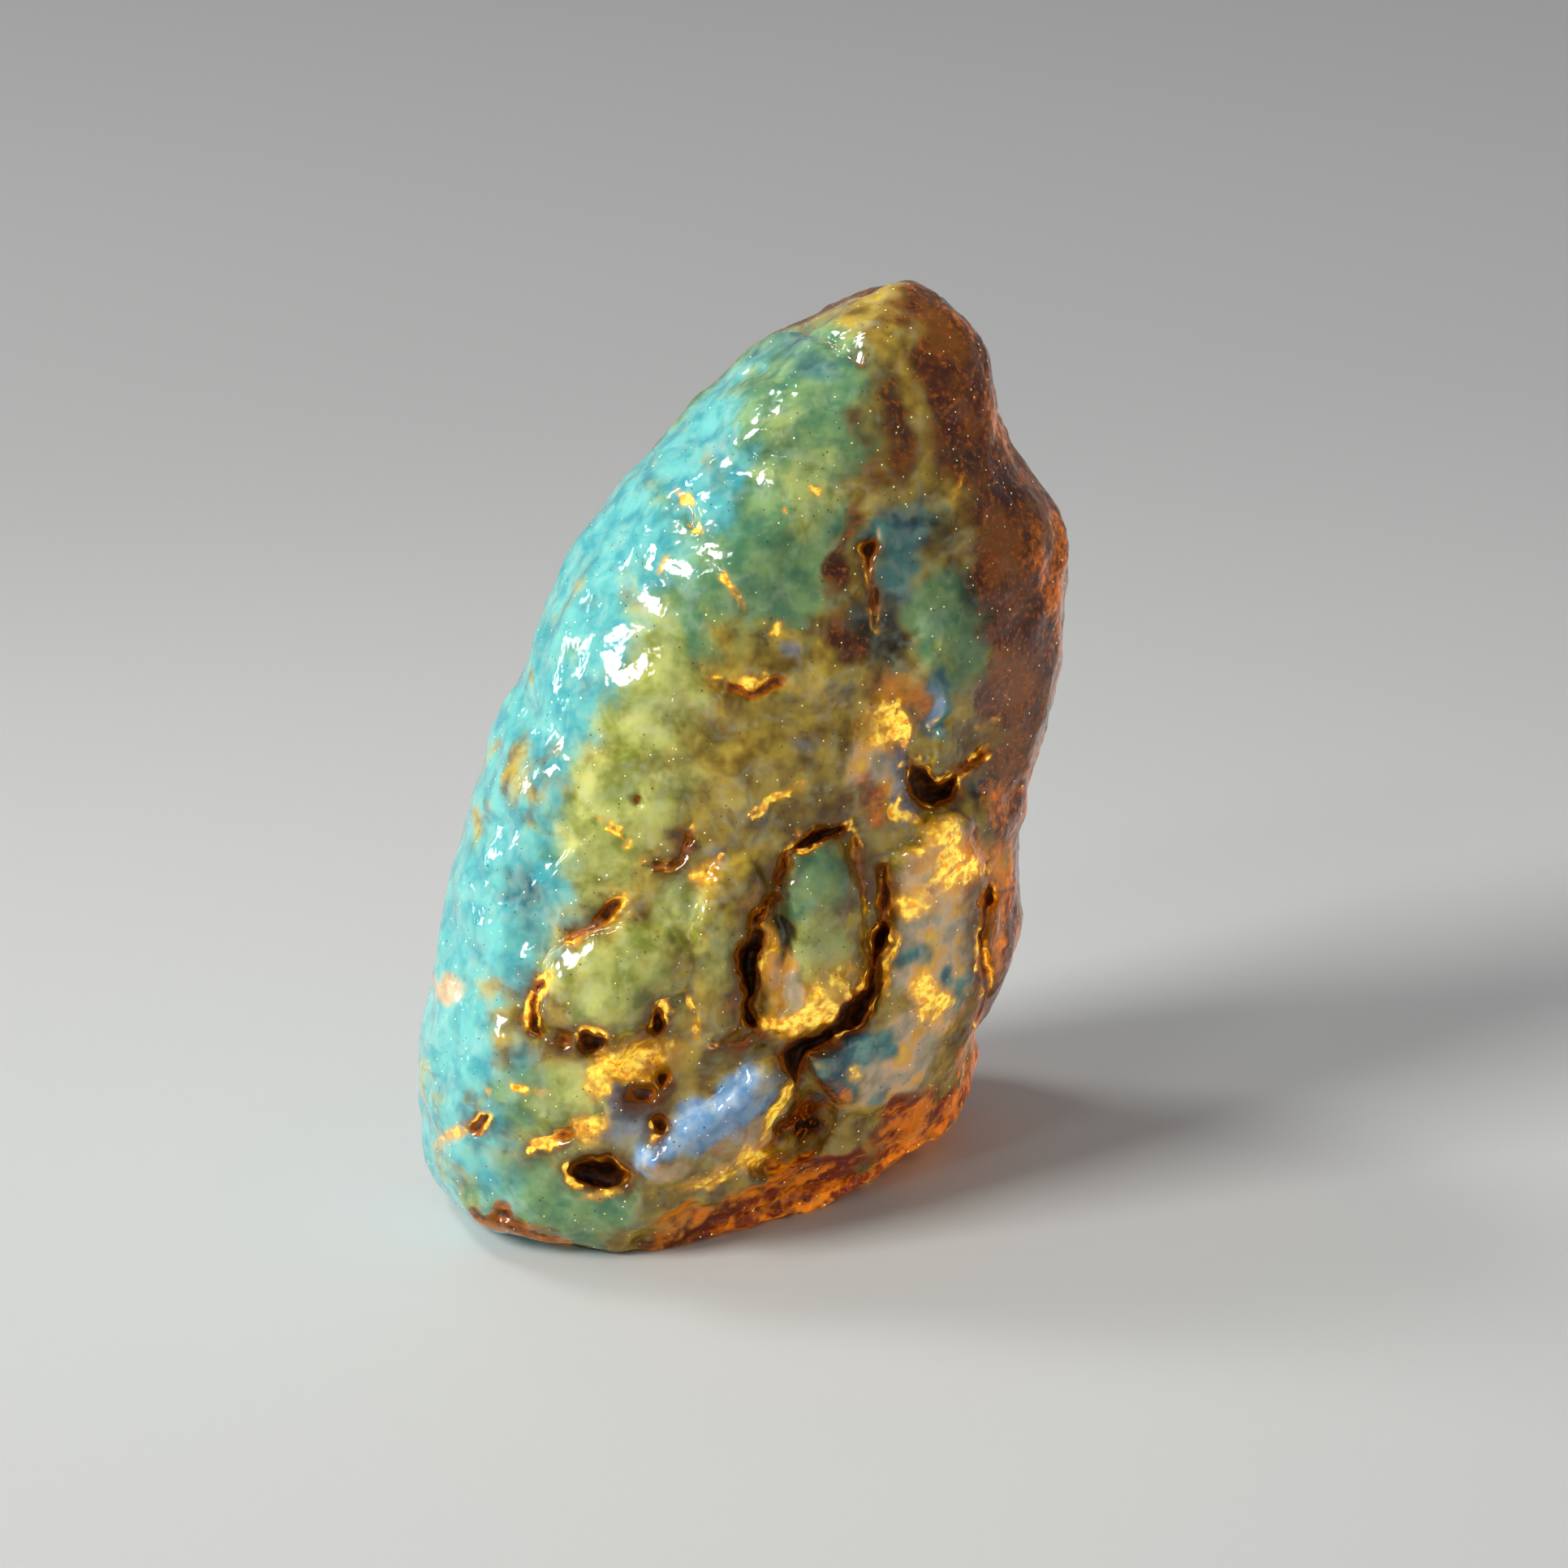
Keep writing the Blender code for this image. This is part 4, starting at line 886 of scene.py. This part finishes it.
def zone_fields(points, front):
    """How much of each colour lies at each point, from 0 to 1."""
    places = warped(points)
    u, v, _ = front_view(places)
    back_u, back_v = -places[:, 0], places[:, 2]
    zones = {}
    for name in FRONT_COLOURS:
        on_front = patch_amount(FRONT_COLOURS[name], u, v)
        on_back = patch_amount(BACK_COLOURS[name], back_u, back_v)
        zones[name] = both_sides(front, on_front, on_back)

    side = line_side(TURQUOISE_EDGE, u, v)
    on_back = smooth_step(2.0, 14.0, back_u)
    turquoise = smooth_step(TURQUOISE_SOFTNESS, -TURQUOISE_SOFTNESS, side)
    greener = smooth_step(-0.1, 0.9, cloud_at(points, 7.0, 37)) * 0.55
    zones["turquoise"] = both_sides(front, turquoise, on_back) * (1 - greener)
    side = line_side(BROWN_EDGE, u, v)
    on_back = smooth_step(3.0, -9.0, back_u)
    brown = smooth_step(-BROWN_SOFTNESS, BROWN_SOFTNESS, side)
    zones["brown"] = np.maximum(zones["brown"], both_sides(front, brown, on_back))

    below = smooth_step(0.7, -0.7, v - np.interp(u, *np.array(SKIRT_TOP).T))
    skirt = below * smooth_step(-8.0, -4.0, u) * front
    foot = smooth_step(3.6, 2.4, v + 0.27 * (u + 20.8)) * smooth_step(-12.0, -14.0, u) * front
    low = smooth_step(12.0, 5.0, places[:, 2]) * (1 - front) * smooth_step(12.0, 4.0, back_u)
    for clear in (skirt, foot, low):
        zones["amber"] = np.maximum(zones["amber"], clear)

    for i, name in enumerate(ZONES):
        cloud = cloud_at(points, CLOUD_SPACING, 20 + i // 2) * (1 if i % 2 else -1)
        zones[name] = smooth_step(0.05, 0.95, zones[name] + cloud * 0.24)
    return zones


def colour_fields(points, out):
    """Every field that the material reads, from 0 to 1 at each point."""
    u, v, toward = front_view(points)
    front = smooth_step(-0.05, 0.3, (out * toward).sum(axis=1))
    fields = zone_fields(points, front)

    u, v = wandered(u, v)
    back_u, back_v = wandered(-points[:, 0], points[:, 2])
    hollows = hollow_fields(FRONT_CHANNELS + FINE_CRACKS, FRONT_PITS, u, v)
    hollows_behind = hollow_fields(BACK_CHANNELS, BACK_PITS, back_u, back_v)
    gap, fold, edge, lined = both_sides(front, hollows, hollows_behind)
    broken = smooth_step(-0.1, 0.5, cloud_at(points, 2.8, 31))
    gold_behind = patch_amount(BACK_GOLD, back_u, back_v)
    patches = both_sides(front, patch_amount(GOLD_PATCHES, u, v), gold_behind)
    gold = np.maximum(lined * broken, patches * (0.7 + 0.3 * broken))
    fields.update(gap=gap, fold=fold, edge=edge, gold=gold)

    # The rim is painted backlight: the right side and the right outline, as the front view sees it, are
    # coloured orange as if lit from behind
    right_side = smooth_step(0.72, 0.96, out[:, 0] + swell_at(points, 5.0, 33) * 0.15)
    outline = smooth_step(0.7, 0.2, (out * toward).sum(axis=1)) * smooth_step(8.0, 14.0, u) * front
    rim = np.maximum(right_side, outline)
    fields["rim"] = rim * (0.6 + 0.5 * cloud_at(points, 6.0, 36))
    fields["cloud"] = 0.5 + 0.5 * cloud_at(points, 1.9, 34)
    fields["depth"] = 0.5 + 0.5 * cloud_at(points, 5.0, 38) + 0.45 * layer_at(points) * fields["amber"]
    fields["wisp"] = smooth_step(0.8, 1.0, 1 - np.abs(cloud_at(points, 4.0, 35)))
    return fields


def fine_relief(points, fields):
    """Ripples of the wet skin, crinkles in the gold and layers in the clear foot."""
    ripples = sum(swell_at(points, spacing, 11 + i) * size for i, (spacing, size) in enumerate(RIPPLES))
    crinkles = swell_at(points, 0.8, 13) * (0.16 * fields["gold"] + 0.06 * fields["edge"])
    layers = layer_at(points) * 0.09 * fields["amber"]
    rough = swell_at(points, 0.6, 15) * 0.05 * fields["brown"]
    return ripples + crinkles + layers + rough


def amber_surface():
    body = body_points()
    out = outward_directions(body)
    mesh = even_mesh(ring_mesh(worked_surface(body)))
    points = vectors(mesh.vertices, "co") / MM
    fields = colour_fields(points, body_directions(points, body, out))
    points += vectors(mesh.vertex_normals, "vector") * fine_relief(points, fields)[:, None]

    cad_middle = (np.array(CAD_LOW) + np.array(CAD_HIGH)) / 2 / MM
    middle = (points.min(axis=0) + points.max(axis=0)) / 2
    shift = np.array([cad_middle[0] - middle[0], cad_middle[1] - middle[1], 0.0])
    points += shift
    points[:, 2] = np.maximum(points[:, 2], 0.0)
    mesh.vertices.foreach_set("co", (points * MM).ravel())
    for name, values in fields.items():
        layer = mesh.attributes.new(name, "FLOAT", "POINT")
        layer.data.foreach_set("value", values.astype(np.float32))
    mesh.shade_smooth()
    mesh.name = "blue_amber_surface"
    return placed("blue_amber_surface", mesh), shift


def linear(screen):
    """A screen colour of three 8-bit values as the linear colour that a shader takes."""
    parts = [value / 255 for value in screen]
    return tuple(p / 12.92 if p <= 0.04045 else ((p + 0.055) / 1.055) ** 2.4 for p in parts) + (1.0,)


class Graph:
    """Short calls that add nodes to one material."""

    def __init__(self, material):
        material.use_nodes = True
        self.tree = material.node_tree
        self.place = self.add("ShaderNodeTexCoord").outputs["Object"]

    def add(self, kind, **settings):
        node = self.tree.nodes.new(kind)
        for name, value in settings.items():
            setattr(node, name, value)
        return node

    def put(self, socket, value):
        if isinstance(value, bpy.types.NodeSocket):
            self.tree.links.new(value, socket)
        else:
            socket.default_value = value

    def math(self, operation, first, second=0.0):
        node = self.add("ShaderNodeMath", operation=operation)
        self.put(node.inputs[0], first)
        self.put(node.inputs[1], second)
        return node.outputs[0]

    def plus(self, first, second):
        return self.math("ADD", first, second)

    def times(self, first, second):
        return self.math("MULTIPLY", first, second)

    def rest(self, value):
        """What the value leaves of 1."""
        return self.math("SUBTRACT", 1.0, value)

    def ragged(self, name, fine, amount):
        """The field's value, raised and lowered by noise that lies around 0.5."""
        return self.plus(self.field(name), self.times(self.math("SUBTRACT", fine, 0.5), amount))

    def step(self, value, start, end, low=0.0, high=1.0):
        """A smooth rise from low to high as the value goes from start to end."""
        node = self.add("ShaderNodeMapRange", interpolation_type="SMOOTHSTEP")
        settings = {"Value": value, "From Min": start, "From Max": end, "To Min": low, "To Max": high}
        for name, item in settings.items():
            self.put(node.inputs[name], item)
        return node.outputs["Result"]

    def mix(self, amount, first, second):
        node = self.add("ShaderNodeMix", data_type="RGBA")
        for i, item in ((0, amount), (6, first), (7, second)):
            self.put(node.inputs[i], item)
        return node.outputs[2]

    def ramp(self, value, stops):
        node = self.add("ShaderNodeValToRGB")
        elements = node.color_ramp.elements
        while len(elements) < len(stops):
            elements.new(1.0)
        for element, (place, screen) in zip(elements, stops):
            element.position = place
            element.color = linear(screen)
        self.put(node.inputs[0], value)
        return node.outputs["Color"]

    def field(self, name):
        return self.add("ShaderNodeAttribute", attribute_name=name).outputs["Fac"]

    def moved(self, seed):
        node = self.add("ShaderNodeVectorMath", operation="ADD")
        self.put(node.inputs[0], self.place)
        node.inputs[1].default_value = (seed * 0.37, seed * 0.21, seed * 0.53)
        return node.outputs[0]

    def noise(self, size, seed, detail=2.0):
        """Noise from 0 to 1 whose swells are about size millimetres across."""
        node = self.add("ShaderNodeTexNoise")
        self.put(node.inputs["Vector"], self.moved(seed))
        node.inputs["Scale"].default_value = 1 / (size * MM)
        node.inputs["Detail"].default_value = detail
        return node.outputs["Fac"]

    def specks(self, spacing, radius, seed):
        """Small round dots, about the spacing apart and no larger than the radius."""
        cells = self.add("ShaderNodeTexVoronoi")
        self.put(cells.inputs["Vector"], self.moved(seed))
        cells.inputs["Scale"].default_value = 1 / (spacing * MM)
        size = self.step(cells.outputs["Color"], 0.3, 0.8, 0.0, radius / spacing)
        return self.step(self.math("SUBTRACT", cells.outputs["Distance"], size), 0.02, -0.02)


def amber_colours(graph):
    """The base colour, and the shares of it that other settings of the shader read."""
    fine = graph.noise(0.5, 1, detail=3.0)
    crinkle = graph.noise(0.8, 2)
    flecked = graph.times(crinkle, fine)
    tone = graph.step(graph.ragged("cloud", fine, 0.4), 0.0, 1.0)
    deep_tone = graph.step(graph.ragged("depth", flecked, 1.6), -0.2, 0.5)

    def two_tone(name, lightness):
        dark, light = TONES[name]
        return graph.mix(lightness, linear(dark), linear(light))

    def laid(under, name, share):
        screen, most = LAID[name]
        return graph.mix(graph.times(share, most), under, linear(screen))

    colour = two_tone("base", tone)
    shares = {}
    for name in ZONES:
        shares[name] = graph.step(graph.ragged(name, fine, 0.3), 0.05, 0.95)
        if name == "opal":
            layer = graph.ramp(graph.step(graph.noise(2.4, 3), 0.15, 0.85), MOTTLES)
        else:
            layer = two_tone(name, deep_tone if name in CLEAR_ZONES else tone)
        colour = graph.mix(shares[name], colour, layer)

    cloudy = graph.times(graph.rest(shares["brown"]), graph.rest(shares["amber"]))
    colour = laid(colour, "wisp", graph.times(graph.field("wisp"), cloudy))
    # Painted shade beside each hollow, where its crease lies in shadow
    colour = laid(colour, "fold", graph.step(graph.ragged("fold", crinkle, 0.7), 0.1, 1.1))
    # Painted shade along each hollow's edge, in brown that also glows a little
    edge = graph.step(graph.ragged("edge", crinkle, 0.9), 0.25, 1.0)
    colour = laid(colour, "edge", edge)
    # Painted backlight: the rim's orange stands for light coming through from behind on the right, and it
    # glows
    rim = graph.step(graph.ragged("rim", flecked, 1.6), -0.15, 0.75)
    colour = graph.mix(graph.times(rim, 0.8), colour, two_tone("rim", graph.step(fine, 0.35, 0.65)))
    embers = graph.step(graph.noise(0.45, 7), 0.52, 0.7)
    colour = laid(colour, "embers", graph.times(embers, shares["brown"]))

    # Painted glow: a soft golden glow around the gold
    halo = graph.step(graph.ragged("gold", fine, 0.3), 0.05, 0.75)
    colour = laid(colour, "halo", halo)
    # The gold is bright amber along cracks; its brightness is partly painted reflection off the cracks
    # inside, and it glows
    gold = graph.step(graph.ragged("gold", crinkle, 1.1), 0.42, 0.8)
    colour = graph.mix(gold, colour, two_tone("gold", graph.step(fine, 0.3, 0.6)))
    colour = laid(colour, "dark specks", graph.specks(0.62, 0.08, 4))
    glints = graph.specks(0.64, 0.075, 5)
    colour = laid(colour, "glints", glints)

    # Painted shade: each hollow darkens from a painted orange glow at its rim to near black at its floor
    gap = graph.ragged("gap", fine, 0.5)
    gap = graph.times(gap, graph.step(graph.field("gap"), 0.0, 0.12))
    for start, end, screen in HOLLOW:
        colour = graph.mix(graph.step(gap, start, end), colour, linear(screen))
    bits = graph.times(graph.step(crinkle, 0.48, 0.66), graph.step(gap, 0.3, 0.6))
    colour = laid(colour, "hollow bits", bits)
    shares.update(gold=gold, halo=halo, rim=rim, edge=edge, glints=glints, gap=graph.step(gap, 0.1, 0.6))
    return colour, shares


def amber_material():
    material = bpy.data.materials.new("blue_amber_surface")
    graph = Graph(material)
    shader = graph.tree.nodes["Principled BSDF"]
    output = graph.tree.nodes["Material Output"]
    colour, shares = amber_colours(graph)
    graph.put(shader.inputs["Base Color"], colour)

    clear = LEAST_CLEARNESS
    for name, most in CLEARNESS.items():
        clear = graph.math("MAXIMUM", clear, graph.times(shares[name], most))
    open_share = graph.times(graph.rest(shares["gap"]), graph.rest(graph.times(shares["gold"], 0.6)))
    graph.put(shader.inputs["Transmission Weight"], graph.times(clear, open_share))

    roughness = graph.step(shares["gap"], 0.0, 1.0, SKIN_ROUGHNESS, HOLLOW_ROUGHNESS)
    graph.put(shader.inputs["Roughness"], roughness)
    shader.inputs["IOR"].default_value = AMBER_IOR
    shader.inputs["Subsurface Weight"].default_value = MILKINESS
    shader.inputs["Subsurface Radius"].default_value = MILK_TINT
    shader.inputs["Subsurface Scale"].default_value = MILK_REACH * MM

    # Painted glow: parts of the colour are emitted, as strongly as GLOW says, except in the hollows
    graph.put(shader.inputs["Emission Color"], colour)
    glow = 0.0
    for name, strength in GLOW.items():
        glow = graph.plus(glow, graph.times(shares[name], strength))
    graph.put(shader.inputs["Emission Strength"], graph.times(glow, graph.rest(shares["gap"])))

    bump = graph.add("ShaderNodeBump")
    bump.inputs["Strength"].default_value = 0.5
    bump.inputs["Distance"].default_value = SKIN_BUMP * MM
    graph.put(bump.inputs["Height"], graph.noise(0.8, 6, detail=1.0))
    graph.put(shader.inputs["Normal"], bump.outputs["Normal"])

    absorption = graph.add("ShaderNodeVolumeAbsorption")
    absorption.inputs["Color"].default_value = PASSED_LIGHT
    absorption.inputs["Density"].default_value = ABSORPTION
    graph.put(output.inputs["Volume"], absorption.outputs["Volume"])
    material.cycles.emission_sampling = "NONE"
    return material


def floor_material():
    material = bpy.data.materials.new("floor")
    material.use_nodes = True
    shader = material.node_tree.nodes["Principled BSDF"]
    shader.inputs["Base Color"].default_value = linear(FLOOR_TONE)
    shader.inputs["Roughness"].default_value = 0.6
    return material


def floor():
    gap = 0.1 * MM
    bpy.ops.mesh.primitive_plane_add(size=FLOOR_SIZE, location=(0.0, 0.0, -gap))
    piece = bpy.context.object
    piece.name = "floor"
    piece.data.materials.append(floor_material())


def softbox_light(softbox):
    """A rectangular light, turned to the lump's middle. A small spread, in degrees, narrows its beam."""
    data = bpy.data.lights.new(softbox.name, "AREA")
    data.shape = "RECTANGLE"
    data.size = softbox.width
    data.size_y = softbox.height
    data.energy = softbox.power
    data.spread = math.radians(softbox.spread)
    light = placed(softbox.name, data)
    light.location = softbox.place
    toward = Vector((0.0, 0.0, HEIGHT / 2 * MM)) - Vector(softbox.place)
    light.rotation_euler = toward.to_track_quat("-Z", "Y").to_euler()


def studio():
    world = bpy.data.worlds.new("studio")
    bpy.context.scene.world = world
    world.use_nodes = True
    background = world.node_tree.nodes["Background"]
    background.inputs["Color"].default_value = ROOM_COLOUR
    background.inputs["Strength"].default_value = ROOM_LIGHT
    for softbox in SOFTBOXES:
        softbox_light(softbox)
    bpy.context.scene.view_settings.view_transform = "Standard"


def photo_camera(shift):
    """The camera that sees the front as FRONT_ELEVATION and FRONT_DISTANCE say."""
    aim = (Vector(FRONT_AIM) + Vector(shift)) * MM
    forward = Vector((0.0, math.cos(FRONT_ELEVATION), -math.sin(FRONT_ELEVATION)))
    data = bpy.data.cameras.new("camera")
    data.lens = LENS
    data.sensor_width = SENSOR
    data.clip_start = 0.01
    camera = placed("camera", data)
    camera.location = aim - forward * FRONT_DISTANCE * MM
    camera.rotation_euler = forward.to_track_quat("-Z", "Y").to_euler()
    bpy.context.scene.camera = camera


amber, moved_by = amber_surface()
amber.data.materials.clear()
amber.data.materials.append(amber_material())
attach(amber, "root")
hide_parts("blue_amber")
floor()
studio()
photo_camera(moved_by)
